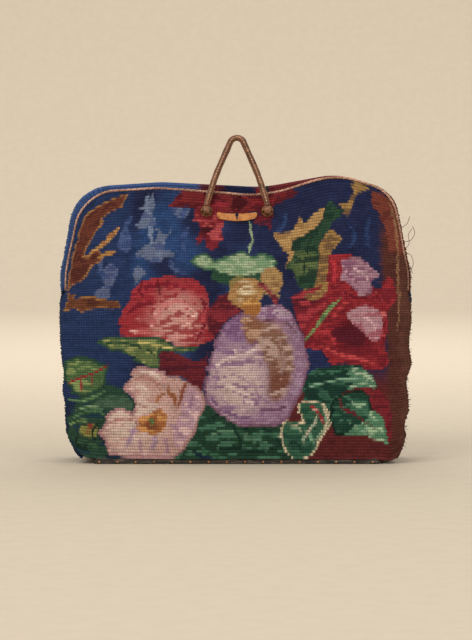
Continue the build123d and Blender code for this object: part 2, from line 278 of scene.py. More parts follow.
def buildWeaveGroup():
    # ribs and threads from the piece's own weave map: how high the cloth stands, and the painted shade that darkens
    # its gaps
    group, given, put = newGroup("weave", {"Gap Depth": 0.5, "Thread Depth": 0.3}, ("Height", "Shade"))
    uv = group.nodes.new("ShaderNodeUVMap")
    uv.uv_map = "weave"
    parts = group.nodes.new("ShaderNodeSeparateXYZ")
    group.links.new(uv.outputs["UV"], parts.inputs["Vector"])
    wobble = mathNode(group, "SUBTRACT", noiseNode(group, 260.0, 2.0), 0.5)
    shift = mathNode(group, "MULTIPLY", wobble, 0.22)

    def yarn(axis, depth):
        # the rounded height of each yarn along one axis, and the light left after the painted shade in its gaps;
        # depth is how dark that painted shade is
        place = mathNode(group, "ADD", parts.outputs[axis], shift)
        wave = mathNode(group, "ABSOLUTE", mathNode(group, "SINE", mathNode(group, "MULTIPLY", place, math.pi)))
        gap = rangeNode(group, wave, 0.1, 0.5, 1.0, 0.0)
        return wave, mathNode(group, "SUBTRACT", 1.0, mathNode(group, "MULTIPLY", gap, given.outputs[depth]))

    ribWave, ribLight = yarn("Y", "Gap Depth")
    threadWave, threadLight = yarn("X", "Thread Depth")
    light = mathNode(group, "MULTIPLY", ribLight, threadLight)
    fuzz = rangeNode(group, noiseNode(group, 900.0, 3.0), 0.25, 0.75, 0.82, 1.12)
    group.links.new(mathNode(group, "MULTIPLY", light, fuzz), put.inputs["Shade"])
    ribShare = mathNode(group, "MULTIPLY", ribWave, 0.7)
    height = mathNode(group, "ADD", ribShare, mathNode(group, "MULTIPLY", threadWave, 0.3))
    group.links.new(mathNode(group, "ADD", height, mathNode(group, "MULTIPLY", fuzz, 0.4)), put.inputs["Height"])
    return group


def buildWearGroup():
    # soft stains and fine scratches, for metals and leather
    group, given, put = newGroup("wear", {"Stain Size": 60.0, "Scratch Size": 500.0}, ("Stain", "Scratch"))
    for label, stretch in (("Stain", None), ("Scratch", (0.25, 1, 1.8))):
        noise = noiseNode(group, given.outputs[label + " Size"], 5.0, stretch)
        group.links.new(rangeNode(group, noise, 0.35, 0.68), put.inputs[label])
    return group


weaveGroup = buildWeaveGroup()
wearGroup = buildWearGroup()


def newMaterial(name, roughness, metallic=0.0, specular=0.5):
    material = bpy.data.materials.new(name)
    material.use_nodes = True
    tree = material.node_tree
    shader = tree.nodes["Principled BSDF"]
    shader.inputs["Roughness"].default_value = roughness
    shader.inputs["Metallic"].default_value = metallic
    shader.inputs["Specular IOR Level"].default_value = specular
    return material, tree, shader


def placeGroup(tree, group, **values):
    node = tree.nodes.new("ShaderNodeGroup")
    node.node_tree = group
    for label, value in values.items():
        node.inputs[label.replace("_", " ")].default_value = value
    return node


def blendColours(tree, factor, low, high):
    # low and high are hex colours or sockets; sockets 6 and 7 are the two colours of a colour mix
    node = tree.nodes.new("ShaderNodeMix")
    node.data_type = "RGBA"
    for socket, value in ((node.inputs[6], low), (node.inputs[7], high)):
        if isinstance(value, str):
            socket.default_value = (*colourOf(value), 1)
        else:
            tree.links.new(value, socket)
    tree.links.new(factor, node.inputs[0])
    return node.outputs[2]


def addBump(tree, shader, height, distance):
    bump = tree.nodes.new("ShaderNodeBump")
    bump.inputs["Distance"].default_value = distance * metresPerMillimetre
    bump.inputs["Strength"].default_value = 0.7
    tree.links.new(height, bump.inputs["Height"])
    tree.links.new(bump.outputs["Normal"], shader.inputs["Normal"])


def wovenMaterial(name, gapShade, threadShade, bump):
    # each thread's colour comes from the mesh; the weave gives its height and the painted shade in its gaps,
    # multiplied into the colour
    material, tree, shader = newMaterial(name, 0.95, specular=0.06)
    shader.inputs["Sheen Weight"].default_value = 0.03
    shader.inputs["Sheen Roughness"].default_value = 0.5
    colour = tree.nodes.new("ShaderNodeVertexColor")
    colour.layer_name = "threadColour"
    weave = placeGroup(tree, weaveGroup, Gap_Depth=gapShade, Thread_Depth=threadShade)
    # painted shade: the thread colour is darkened in the weave's gaps
    shade = tree.nodes.new("ShaderNodeVectorMath")
    shade.operation = "SCALE"
    tree.links.new(colour.outputs["Color"], shade.inputs[0])
    tree.links.new(weave.outputs["Shade"], shade.inputs["Scale"])
    tree.links.new(shade.outputs[0], shader.inputs["Base Color"])
    addBump(tree, shader, weave.outputs["Height"], bump)
    return material


def wornMaterial(name, look):
    # metal or leather whose colour and gloss change with stains and scratches
    material, tree, shader = newMaterial(name, look["roughness"], look["metallic"])
    wear = placeGroup(tree, wearGroup, Stain_Size=look["stainSize"], Scratch_Size=look["scratchSize"])
    colour = blendColours(tree, wear.outputs["Stain"], look["colour"], look["stained"])
    scratch = rangeNode(tree, wear.outputs["Scratch"], 0.55, 1.0, 0.0, look["scratched"])
    tree.links.new(blendColours(tree, scratch, colour, look["bare"]), shader.inputs["Base Color"])
    gloss = rangeNode(tree, wear.outputs["Stain"], 0.0, 1.0, look["roughness"] - 0.08, look["roughness"] + 0.15)
    tree.links.new(gloss, shader.inputs["Roughness"])
    addBump(tree, shader, wear.outputs["Scratch"], look["bump"])
    return material


finishes = {
    "agedBrass": dict(colour="c08048", stained="96582e", bare="dca468", roughness=0.42, metallic=0.55,
                      stainSize=90.0, scratchSize=700.0, scratched=0.5, bump=0.05),
    "darkBrass": dict(colour="7d5230", stained="54341f", bare="b98250", roughness=0.5, metallic=0.5,
                      stainSize=120.0, scratchSize=700.0, scratched=0.4, bump=0.05),
    "japannedIron": dict(colour="1d1a19", stained="2b2420", bare="5a4a3e", roughness=0.4, metallic=0.6,
                         stainSize=40.0, scratchSize=500.0, scratched=0.5, bump=0.08),
    "boltSteel": dict(colour="8f8d88", stained="6b655c", bare="b9b7b2", roughness=0.36, metallic=0.9,
                      stainSize=70.0, scratchSize=900.0, scratched=0.6, bump=0.03),
    "handleLeather": dict(colour="835236", stained="522f20", bare="a06c46", roughness=0.5, metallic=0.0,
                          stainSize=110.0, scratchSize=420.0, scratched=0.7, bump=0.12),
    # painted shade: the handle's grooves take this darker leather
    "grooveShadeLeather": dict(colour="5e3a26", stained="3f2618", bare="6e4a32", roughness=0.62, metallic=0.0,
                        stainSize=90.0, scratchSize=420.0, scratched=0.5, bump=0.1),
    "boardLeather": dict(colour="2a2420", stained="17140f", bare="5b5148", roughness=0.6, metallic=0.0,
                         stainSize=55.0, scratchSize=260.0, scratched=0.8, bump=0.15),
    "stitchThread": dict(colour="d2b586", stained="9c7a50", bare="e8d2a8", roughness=0.85, metallic=0.0,
                         stainSize=200.0, scratchSize=900.0, scratched=0.4, bump=0.05),
    "pipingCord": dict(colour="cfa389", stained="9c705a", bare="e8cbb4", roughness=0.9, metallic=0.0,
                       stainSize=45.0, scratchSize=900.0, scratched=0.6, bump=0.08),
    "pinkCord": dict(colour="b98672", stained="8c5f4e", bare="d9b09c", roughness=0.9, metallic=0.0,
                     stainSize=45.0, scratchSize=900.0, scratched=0.6, bump=0.08),
    "frayThread": dict(colour="5b3a2c", stained="43221f", bare="8a6248", roughness=0.95, metallic=0.0,
                       stainSize=70.0, scratchSize=900.0, scratched=0.6, bump=0.02),
}
made = {name: wornMaterial(name, look) for name, look in finishes.items()}
# the gap and thread values set how dark the painted shade is in the gaps between ribs and between threads
weaves = {
    "carpetWool": dict(gapShade=0.5, threadShade=0.34, bump=0.9),
    "liningLinen": dict(gapShade=0.25, threadShade=0.22, bump=0.35),
}
made.update({name: wovenMaterial(name, **look) for name, look in weaves.items()})
print("materials:", len(made))

# the bag's soft body: half width and half depth at a few heights
body = {
    "ribPitch": 3.36,
    "threadPitch": 1.73,
    "ribHeight": 0.34,  # how far a rib stands up or a gap sinks
    "ribsBelowEdge": 10.0,  # height that the turned-up bottom edge adds to the count of ribs
    "clothWidth": 490.0,
    "leftCorner": 583.0,  # z - x where the left side ends and the top begins
    "rightCorner": 596.0,  # z + x where the top ends and the right side begins
    "waveDepth": 1.7,
    "tableHeights": [4, 10, 18, 32, 60, 120, 180, 236, 246, 430],
    "halfWidth": [216, 219, 228, 239, 246, 250, 253, 254, 251, 251],
    "sideDepth": [50.5, 50, 47, 46, 45, 38, 27, 16, 12.5, 7],
    "frontHeights": [4, 10, 18, 32, 60, 120, 150, 180, 210, 236,
                     260, 285, 315, 330, 345, 361, 375, 390, 411, 430],
    "frontDepth": [54, 54.5, 56, 59.5, 62.5, 64.5, 63.5, 62, 60, 57,
                   52, 46, 37, 30.5, 26.8, 23.3, 20.5, 17.6, 13.5, 10],
    "backHeights": [4, 10, 18, 32, 60, 120, 180, 236, 270, 300, 330, 361, 390, 430],
    "backDepth": [54, 54.5, 56, 59.5, 62.5, 65, 63.5, 61, 52, 41, 30, 23.5, 17.8, 10],
}
halfWidthAt = smoothTable(body["tableHeights"], body["halfWidth"], 6)
sideDepthAt = smoothTable(body["tableHeights"], body["sideDepth"], 10)
frontDepthAt = smoothTable(body["frontHeights"], body["frontDepth"])
backDepthAt = smoothTable(body["backHeights"], body["backDepth"], 14)

# outlines, each up the left side, over the mouth and down the right side
mouthBends = [120, 60, 150, 200, 105, 50, 120]
bottomEdge = [(-236, 26), (-224, 14), (-204, 8.4), (-150, 7.8), (-60, 7.2), (40, 7.8), (130, 7.0), (196, 6.6),
              (222, 6), (236, 20)]
frontOutline = {
    "left": [(-236, 26), (-243.5, 50), (-245, 84), (-248, 108), (-247, 131), (-251.5, 162), (-253.5, 205),
             (-254, 229), (-249, 240)],
    "right": [(236, 20), (240, 40), (239, 58), (245, 81), (241, 117), (248.5, 141), (245, 171), (247.5, 191),
              (249, 205), (247, 229), (246, 240)],
    "mouth": roundedLine([(-243.5, 246), (-243.5, 270), (-220.5, 384), (-108.5, 391), (38, 378.8), (143.5, 411),
                          (220.5, 386), (243.5, 270), (243.5, 246)], mouthBends),
}
backOutline = {
    "left": [(-236, 26), (-243, 50), (-246, 84), (-249, 120), (-252, 162), (-254, 205), (-254, 229), (-253, 240)],
    "right": [(236, 20), (241, 40), (244, 70), (247, 110), (249, 150), (251, 205), (252, 229), (251, 240)],
    "mouth": roundedLine([(-253.5, 246), (-254, 270), (-231, 392.6), (-108.5, 400.5), (38, 393.1), (143.5, 412.5),
                          (225, 388.5), (250, 272), (250, 246)], mouthBends),
}


def panelSheet(outline):
    # x and z of one face of the bag, as a grid of points
    mouth = outline["mouth"]
    middle = len(mouth) // 2
    cornerLeft = int(np.argmin(np.abs((mouth[:middle, 1] - mouth[:middle, 0]) - body["leftCorner"])))
    cornerRight = middle + int(np.argmin(np.abs((mouth[middle:, 1] + mouth[middle:, 0]) - body["rightCorner"])))
    left = spaced(np.vstack([smoothLoop(outline["left"], closed=False), mouth[: cornerLeft + 1]]), 1.0)
    right = spaced(np.vstack([smoothLoop(outline["right"], closed=False), mouth[cornerRight:][::-1]]), 1.0)
    top = mouth[cornerLeft : cornerRight + 1]
    bottom = smoothLoop(bottomEdge, closed=False)
    ribs = int(round((left[-1, 1] - left[0, 1] + body["ribsBelowEdge"]) / body["ribPitch"]))
    threads = int(round(body["clothWidth"] / body["threadPitch"]))
    v = np.linspace(0, 1, 2 * ribs + 1)[:, None]
    u = np.linspace(0, 1, threads + 1)[None, :]

    def atFraction(line, t):
        # the point where z has gone a fraction of its way up
        z = line[0, 1] + (line[-1, 1] - line[0, 1]) * t
        return np.interp(z, line[:, 1], line[:, 0]), z

    leftX, leftZ = atFraction(left, v)
    rightX, rightZ = atFraction(right, v)
    x = leftX + (rightX - leftX) * u
    z = leftZ + (rightZ - leftZ) * u
    topX = top[0, 0] + (top[-1, 0] - top[0, 0]) * u
    topZ = np.interp(topX, top[:, 0], top[:, 1]) - (top[0, 1] + (top[-1, 1] - top[0, 1]) * u)
    bottomX = bottom[0, 0] + (bottom[-1, 0] - bottom[0, 0]) * u
    bottomZ = np.interp(bottomX, bottom[:, 0], bottom[:, 1]) - (bottom[0, 1] + (bottom[-1, 1] - bottom[0, 1]) * u)
    return x, z + topZ * v**4 + bottomZ * (1 - v) ** 8


def faceDepth(x, z, depthAt):
    # how far the face stands from the middle: full in the middle and rounding in at the sides
    across = np.clip(np.abs(x) / halfWidthAt(z), 0, 1)
    side = sideDepthAt(z)
    return side + (depthAt(z) - side) * np.sqrt(np.clip(1 - across**2, 0, 1))


def softWaves(x, z, seed):
    # slow hollows and swellings in the cloth, none near the mouth's edge
    draw = np.random.default_rng(seed)
    total = np.zeros_like(x)
    for _ in range(9):
        angle = draw.uniform(0, math.pi)
        length = draw.uniform(70, 190)
        phase = draw.uniform(0, 2 * math.pi)
        total += np.sin((x * math.cos(angle) + z * math.sin(angle)) * 2 * math.pi / length + phase)
    return total / 3 * ramp(395, 300, z) * ramp(252, 215, np.abs(x)) * ramp(2, 40, z)


def borderOrder(rows, columns):
    # (row, column) round a grid: up the left, over the top, down the right, back along the bottom
    order = [(r, 0) for r in range(rows)]
    order += [(rows - 1, c) for c in range(1, columns)]
    order += [(r, columns - 1) for r in range(rows - 2, -1, -1)]
    order += [(0, c) for c in range(columns - 2, 0, -1)]
    return np.array(order)


def outwardAt(loop):
    # directions out of a closed outline that is walked clockwise
    step = np.roll(loop, -3, axis=0) - np.roll(loop, 3, axis=0)
    out = np.stack([-step[:, 1], step[:, 0]], axis=1)
    return out / np.maximum(np.linalg.norm(out, axis=1), 1e-6)[:, None]


# the woven design is made of patches and strokes, with (x, z) points on the panel
def patch(shape, colour, rim=None, rimWidth=3.0, heart=None, fleck=None, soft=1.1):
    # a filled shape; soft is how far its edge is hatched into what lies under it
    return dict(line=shape, colour=colour, width=None, rim=rim, rimWidth=rimWidth, heart=heart, fleck=fleck,
                soft=soft)


def stroke(line, width, colour, fleck=None, soft=1.1):
    return dict(line=line, colour=colour, width=width, rim=None, heart=None, fleck=fleck, soft=soft)


def insideLoop(loop, x, z):
    inside = np.zeros(x.shape, bool)
    for (x0, z0), (x1, z1) in zip(loop, np.roll(loop, -1, axis=0)):
        if z0 != z1:
            inside ^= ((z0 > z) != (z1 > z)) & (x < x0 + (z - z0) * (x1 - x0) / (z1 - z0))
    return inside


def distanceTo(line, x, z, closed=True):
    # distance to the nearest point of a line, and how far along it that is
    best = np.full(x.shape, 1e9)
    place = np.zeros(x.shape)
    ends = np.roll(line, -1, axis=0) if closed else line[1:]
    for i, ((x0, z0), (x1, z1)) in enumerate(zip(line, ends)):
        dx, dz = x1 - x0, z1 - z0
        t = np.clip(((x - x0) * dx + (z - z0) * dz) / (dx * dx + dz * dz + 1e-9), 0, 1)
        far = np.hypot(x - x0 - t * dx, z - z0 - t * dz)
        place = np.where(far < best, (i + t) / len(ends), place)
        best = np.minimum(best, far)
    return best, place


def laid(colour, share, code):
    # colour with a share, 0 to 1, of another colour over it
    share = np.clip(share, 0, 1)[..., None]
    return colour * (1 - share) + colourOf(code) * share


def dashes(rows, columns, length, draw):
    # one random number per short horizontal run of threads, its ends softened
    runs = np.repeat(draw.normal(size=(rows, columns // length + 2)), length, axis=1)
    starts = draw.integers(0, length, rows)
    rough = np.stack([row[start : start + columns] for row, start in zip(runs, starts)])
    taps = np.hanning(length + 2)
    return np.stack([np.convolve(row, taps / taps.sum(), mode="same") for row in rough])


def paintCells(x, z, motifs, ground, seed):
    # the colour of every thread crossing, in linear light
    draw = np.random.default_rng(seed)
    rows, columns = x.shape
    long, short = dashes(rows, columns, 9, draw), dashes(rows, columns, 3, draw)
    long = 0.75 * long + 0.45 * np.roll(long, 1, axis=0)
    px = x + 0.9 * short + 0.8 * long
    pz = z + 0.5 * short
    colour = ground(px, pz)
    for motif in motifs:
        isStroke = motif["width"] is not None
        line = smoothLoop(motif["line"], 4, closed=not isStroke)
        reach = (motif["width"] if isStroke else 0) + 3
        low, high = line.min(axis=0) - reach, line.max(axis=0) + reach
        near = (px > low[0]) & (px < high[0]) & (pz > low[1]) & (pz < high[1])
        if not near.any():
            continue
        nx, nz, streak = px[near], pz[near], long[near]
        paint = np.broadcast_to(colourOf(motif["colour"]), (len(nx), 3)).copy()

        far, place = distanceTo(line, nx, nz, closed=not isStroke)
        if isStroke:
            inward = 0.5 * motif["width"] * (1 - np.abs(2 * place - 1) ** 3 * 0.75) - far
        else:
            inward = np.where(insideLoop(line, nx, nz), far, -far)
            if motif["heart"]:
                hx, hz, spread, inner = motif["heart"]
                fromHeart = np.hypot(nx - hx, nz - hz) + 4 * streak
                paint = laid(paint, ramp(spread, 0.2 * spread, fromHeart), inner)
        if motif["fleck"]:
            other, share = motif["fleck"]
            flecked = ramp(0.6 - 1.2 * share, 1.25 - 1.2 * share, streak + 0.35 * short[near])
            paint = laid(paint, 0.85 * flecked, other)
        if motif["rim"]:
            onRim = ramp(motif["rimWidth"] * 1.3, motif["rimWidth"] * 0.5, far * (1 - 0.25 * streak))
            paint = laid(paint, onRim, motif["rim"])
        soft = motif["soft"]
        cover = ramp(-soft, soft, inward + (0.17 + 0.3 * soft) * streak)[:, None]
        colour[near] = colour[near] * (1 - cover) + paint * cover
    tone = 1 + 0.09 * long + 0.07 * short + 0.05 * draw.normal(size=x.shape)
    return np.clip(colour * np.clip(tone, 0.55, 1.5)[..., None], 0, 1)


def frontGround(x, z):
    # navy above, near-black green low on the left, maroon low on the right and down the right margin
    cloud = softWaves(x * 1.6, z * 0.8 + 40, 5)
    colour = laid(colourOf("252b4b"), 0.85 * ramp(-0.5, 0.7, cloud) * ramp(60, -100, x), "2f4a78")
    colour = laid(colour, 0.5 * ramp(0.2, 0.9, -cloud), "1c2138")
    colour = laid(colour, 0.85 * ramp(120, 60, z) * ramp(40, -60, x), "1f2c36")
    colour = laid(colour, ramp(62, 78, x + 0.25 * z) * ramp(150, 105, z), "5f292a")
    colour = laid(colour, ramp(205, 217, x + 0.05 * (z - 200)) * ramp(352, 318, z), "56302b")
    return laid(colour, ramp(229, 236, x) * 0.85, "5e3b30")


frontMotifs = [
    # blue-grey cloudy flowers on the navy
    patch([(-123, 386), (-128, 373), (-141, 365), (-133, 360), (-137, 348), (-146, 339), (-135, 336), (-115, 342),
           (-122, 353), (-117, 370), (-120, 380)], "6a7590", fleck=("47547c", 0.4)),
    patch([(-92, 337), (-102, 327), (-117, 337), (-115, 327), (-120, 317), (-132, 311), (-142, 304), (-145, 297),
           (-125, 291), (-117, 286), (-104, 293), (-88, 297), (-102, 307), (-103, 317), (-97, 327)],
          "66708a", fleck=("3f4c76", 0.4)),
    patch([(-139, 282), (-145, 277), (-148, 267), (-146, 255), (-135, 267), (-130, 272)], "626c86"),
    patch([(-179, 286), (-189, 278), (-191, 263), (-189, 254), (-202, 245), (-200, 236), (-182, 236), (-181, 249),
           (-173, 262), (-169, 277)], "5a6484", fleck=("3a4670", 0.4)),
    patch([(-166, 330), (-158, 336), (-150, 322), (-152, 306), (-162, 300), (-170, 312)],
          "4c5a86", fleck=("36446e", 0.4)),
    patch([(-88, 372), (-76, 378), (-66, 368), (-72, 352), (-84, 350), (-92, 360)], "5c6888", fleck=("36446e", 0.3)),
    stroke([(-120, 350), (-124, 330), (-122, 308)], 7, "7886a0", fleck=("47547c", 0.6)),
    stroke([(-128, 384), (-130, 368), (-126, 352)], 6, "76849e", fleck=("47547c", 0.5)),
    stroke([(-104, 316), (-112, 300), (-108, 288)], 8, "74809a", fleck=("3f4c76", 0.6)),
    stroke([(-150, 352), (-158, 340), (-162, 322)], 6, "4a5c88", fleck=("2f3f6a", 0.5)),
    stroke([(-192, 300), (-196, 282), (-188, 262)], 7, "4c5c86", fleck=("2f3f6a", 0.5)),
    stroke([(-70, 336), (-78, 318), (-74, 300)], 8, "3f5280", fleck=("2a3860", 0.5)),
    stroke([(-96, 290), (-88, 276), (-70, 272)], 7, "4a5a82", fleck=("2a3860", 0.5)),
    stroke([(-60, 372), (-74, 362), (-80, 346)], 6, "46598a", fleck=("2a3860", 0.5)),
    stroke([(70, 356), (66, 340), (56, 330)], 7, "33446e", fleck=("232a48", 0.5)),
    stroke([(190, 350), (184, 330), (188, 308)], 8, "2f4068", fleck=("222848", 0.5)),
    stroke([(160, 340), (168, 322), (160, 308)], 6, "2f4068", fleck=("222848", 0.5)),
    # rust-brown branch at the upper left, tan at its edge
    patch([(-155, 385), (-168, 382), (-182, 376), (-194, 370), (-205, 363), (-215, 355), (-221, 344), (-226, 332),
           (-229, 317), (-233, 304), (-236, 290), (-239, 275), (-241, 262), (-243, 245), (-235, 254), (-222, 260),
           (-212, 271), (-204, 283), (-194, 288), (-192, 297), (-199, 306), (-206, 304), (-211, 296), (-217, 296),
           (-216, 304), (-210, 314), (-204, 325), (-199, 334), (-192, 338), (-192, 348), (-186, 355), (-173, 362),
           (-164, 366), (-161, 375)], "6a3a2e", rim="946742", rimWidth=2.4, fleck=("4a2622", 0.5)),
    stroke([(-210, 300), (-189, 314), (-168, 336)], 6, "b98a52", fleck=("8a5a3a", 0.3)),
    stroke([(-199, 292), (-186, 299), (-172, 300)], 5.5, "a97a48"),
    patch([(-243, 243), (-232, 239), (-231, 235), (-209, 239), (-192, 235), (-172, 232), (-166, 226), (-170, 221),
           (-192, 222), (-209, 220), (-224, 216), (-232, 221), (-247, 217), (-245, 226), (-242, 233)],
          "70432f", rim="96683f", rimWidth=2.0, fleck=("4c2a24", 0.5)),
    # red flower under the mouth, dripping beside the lock
    patch([(-98, 366), (-86, 380), (-76, 388), (-55, 388), (-30, 386), (0, 384), (30, 383), (56, 386), (80, 390),
           (88, 386), (73, 377), (58, 371), (49, 364), (40, 361), (15, 358), (-20, 356), (-48, 358), (-70, 366)],
          "7a2b2e", fleck=("4c1a22", 0.5)),
    stroke([(-52, 372), (-34, 368), (-12, 370)], 7, "98303a", fleck=("5e1f26", 0.5)),
    stroke([(14, 372), (34, 370), (54, 376)], 7, "8e2c34", fleck=("5e1f26", 0.5)),
    patch([(-6, 378), (4, 380), (12, 374), (10, 364), (0, 361), (-8, 366)], "4a1a20"),
    patch([(-60, 348), (-53, 340), (-56, 327), (-59, 313), (-53, 314), (-47, 322), (-45, 312), (-38, 306), (-30, 307),
           (-25, 317), (-19, 320), (-22, 330), (-18, 345), (-20, 360), (-42, 366), (-60, 362)],
          "7e2830", heart=(-40, 331, 18, "431820"), fleck=("a8484a", 0.3)),
    patch([(25, 344), (40, 339), (47, 333), (51, 344), (51, 356), (34, 362)], "6e2630", fleck=("3c2034", 0.3)),
    stroke([(14, 352), (20, 336), (22, 322), (18, 300)], 3.2, "8fa07e"),
    # pale leaf behind the flowers
    patch([(-65, 289), (-56, 298), (-44, 299), (-30, 291), (-12, 298), (8, 302), (24, 297), (40, 300), (56, 290),
           (52, 272), (36, 263), (18, 266), (2, 261), (-18, 268), (-40, 276), (-58, 280)], "9fb08e",
          rim="3e5f48", rimWidth=4, fleck=("6d8a68", 0.45)),
    patch([(-34, 276), (-10, 270), (14, 268), (34, 272), (34, 258), (10, 254), (-16, 256), (-36, 264)], "2f4f3c",
          fleck=("1d382f", 0.4)),
    patch([(34, 272), (46, 280), (60, 276), (66, 260), (58, 244), (44, 240), (36, 252)], "a98658",
          fleck=("7b5a3e", 0.35)),
    patch([(-10, 262), (6, 268), (24, 258), (36, 246), (26, 236), (6, 236), (-10, 246)],
          "8c7a4c", fleck=("5a6a40", 0.4)),
    # tall green leaf with tan edges, right of the lock
    patch([(53, 328), (67, 328), (77, 331), (88, 344), (90, 352), (97, 344), (107, 354), (118, 363), (125, 363),
           (123, 354), (116, 341), (105, 331), (90, 322), (79, 315), (82, 300), (70, 279), (73, 298), (62, 309),
           (56, 318)], "b48e5c", fleck=("86643f", 0.4)),
    patch([(133, 335), (142, 328), (150, 321), (140, 309), (133, 298), (131, 285), (129, 251), (118, 234), (99, 234),
           (94, 249), (107, 251), (116, 281), (118, 296), (116, 309), (123, 322)], "9c7848", fleck=("5f4834", 0.5)),
    patch([(152, 363), (158, 354), (162, 357), (166, 372), (174, 385), (191, 393), (179, 398), (166, 400), (165, 382),
           (155, 372), (144, 369)], "a27e4e", fleck=("5f4a38", 0.5)),
    patch([(133, 374), (142, 365), (152, 363), (150, 354), (136, 344), (133, 335), (123, 322), (116, 309), (118, 296),
           (116, 281), (108, 251), (90, 251), (80, 270), (70, 281), (80, 296), (79, 315), (90, 322), (105, 331),
           (116, 341), (123, 354), (127, 367)], "2f4a38", heart=(98, 284, 30, "5d6c44"), fleck=("1d3028", 0.5)),
    stroke([(128, 366), (118, 338), (100, 312), (96, 280), (92, 256)], 3, "22362c"),
    # rust strip inside the right shoulder
    patch([(193, 388), (211, 382), (224, 369), (229, 354), (232, 335), (232, 318), (237, 300), (222, 300), (216, 307),
           (213, 329), (209, 344), (200, 361), (194, 367)], "7a3f33", fleck=("572a27", 0.4)),
    # red flower at the right with lilac petals
    patch([(92, 166), (130, 168), (136, 226), (131, 258), (112, 252), (94, 246), (78, 236), (82, 214), (92, 190)],
          "7e2731", heart=(92, 238, 22, "54222c"), fleck=("a03840", 0.4), soft=2),
    stroke([(130, 268), (124, 250), (112, 240), (98, 238)], 11, "a27d4e", fleck=("6f4a38", 0.4), soft=1.8),
    patch([(129, 226), (128, 251), (131, 288), (133, 297), (159, 300), (174, 287), (184, 268), (202, 247), (215, 266),
           (226, 252), (228, 236), (216, 218), (215, 192), (209, 170), (216, 145), (200, 134), (175, 140), (155, 144),
           (133, 143), (125, 155), (116, 166), (98, 168), (99, 192), (112, 214)], "992f36",
          heart=(170, 184, 50, "6a2029"), fleck=("6a1f28", 0.55)),
    patch([(148, 290), (166, 294), (181, 290), (192, 279), (203, 268), (192, 261), (194, 251), (188, 239), (174, 240),
           (164, 255), (146, 264), (153, 281)], "a9808f", fleck=("774a62", 0.5)),
    patch([(159, 218), (181, 226), (203, 218), (209, 199), (205, 183), (196, 173), (183, 185), (166, 198),
           (157, 209)],
          "b98a94", fleck=("944c58", 0.55)),
    patch([(142, 196), (164, 198), (175, 192), (183, 177), (174, 168), (159, 172), (146, 175), (136, 186)], "571c28"),
    stroke([(135, 268), (150, 248), (158, 230)], 6, "842832"),
    stroke([(200, 244), (208, 222), (212, 204)], 7, "8a2a34", fleck=("c46a66", 0.3)),
    stroke([(120, 170), (140, 158), (168, 152), (196, 142)], 6, "c04a4c", fleck=("8c2a34", 0.4)),
    stroke([(96, 176), (118, 204), (132, 222), (146, 236)], 5.5, "7d9660", fleck=("4c6a48", 0.3)),
    patch([(99, 164), (116, 162), (125, 151), (133, 140), (114, 131), (99, 127), (103, 144)], "283056"),
    stroke([(152, 246), (170, 236), (190, 240), (204, 232)], 5, "6c1f2a", fleck=("b04048", 0.4)),
    stroke([(136, 206), (146, 222), (158, 232)], 6, "c04448", fleck=("7a242c", 0.5)),
    stroke([(114, 190), (130, 186), (140, 170)], 6, "b83c42", fleck=("7a242c", 0.5)),
    stroke([(150, 282), (160, 268), (172, 256)], 5, "8c5670", fleck=("c8a0aa", 0.5)),
    stroke([(166, 280), (178, 272), (188, 262)], 4, "cda6ae"),
    stroke([(172, 214), (188, 206), (198, 190)], 5, "d2a8ac", fleck=("a86a74", 0.5)),
    stroke([(206, 208), (210, 186), (204, 164)], 6, "7a222c", fleck=("b04448", 0.5)),
    stroke([(136, 292), (140, 276), (138, 258)], 5, "b4363e"),
    stroke([(214, 379), (225, 350), (229, 315), (230, 270), (232, 230), (228, 190)],
           3, "9a7354", fleck=("6e4c38", 0.4)),
    # crimson rose at the left
    patch([(-158, 225), (-152, 238), (-148, 248), (-138, 258), (-120, 265), (-100, 268), (-78, 266), (-60, 262),
           (-46, 252), (-41, 238), (-39, 223), (-39, 208), (-36, 192), (-32, 181), (-44, 174), (-66, 167), (-84, 169),
           (-98, 174), (-111, 181), (-142, 180), (-165, 184), (-168, 197), (-165, 214)], "a2363d",
          heart=(-86, 204, 56, "d39a92"), fleck=("8c2a33", 0.45)),
    stroke([(-150, 240), (-128, 252), (-100, 256), (-72, 250)], 8, "7e2230", fleck=("a83a42", 0.3)),
    stroke([(-156, 214), (-140, 226), (-118, 230)], 6, "7a2230"),
    stroke([(-120, 196), (-112, 218), (-92, 232), (-68, 228)], 5, "cf7a78", fleck=("e4b4ac", 0.4), soft=3),
    stroke([(-58, 176), (-48, 196), (-46, 222), (-54, 240)], 6, "7c2432", fleck=("b04a50", 0.3)),
    stroke([(-150, 190), (-126, 188), (-104, 186)], 6, "c86a68", fleck=("e0aaa2", 0.4), soft=3),
    stroke([(-100, 176), (-84, 182), (-62, 184)], 5, "d89890", fleck=("a83a42", 0.3), soft=3),
    stroke([(-134, 262), (-138, 248), (-132, 236)], 4, "6e1e2a"),
    stroke([(-112, 264), (-114, 250), (-108, 240)], 4, "6e1e2a"),
    stroke([(-146, 204), (-128, 206), (-112, 200)], 5, "b85c5e", fleck=("dca49c", 0.5), soft=3),
    stroke([(-96, 222), (-80, 226), (-62, 218)], 5, "dcaaa2", fleck=("b04a50", 0.4), soft=3),
    stroke([(-78, 196), (-66, 204), (-56, 216)], 5, "c87a76", fleck=("e4bab0", 0.4), soft=3),
    # bud leaf behind the crimson rose, and maroon under it
    patch([(-108, 164), (-91, 160), (-73, 153), (-58, 147), (-44, 154), (-40, 168), (-46, 124), (-51, 105),
           (-59, 112),
           (-73, 120), (-83, 127), (-98, 127), (-110, 138)], "6c2830", fleck=("481c28", 0.4)),
    patch([(-200, 174), (-185, 181), (-172, 182), (-155, 181), (-142, 180), (-125, 181), (-111, 181), (-98, 174),
           (-84, 169), (-66, 167), (-53, 169), (-61, 162), (-74, 160), (-91, 160), (-108, 164), (-110, 154),
           (-109, 140), (-120, 137), (-133, 144), (-143, 147), (-152, 154), (-165, 162), (-179, 161), (-189, 169)],
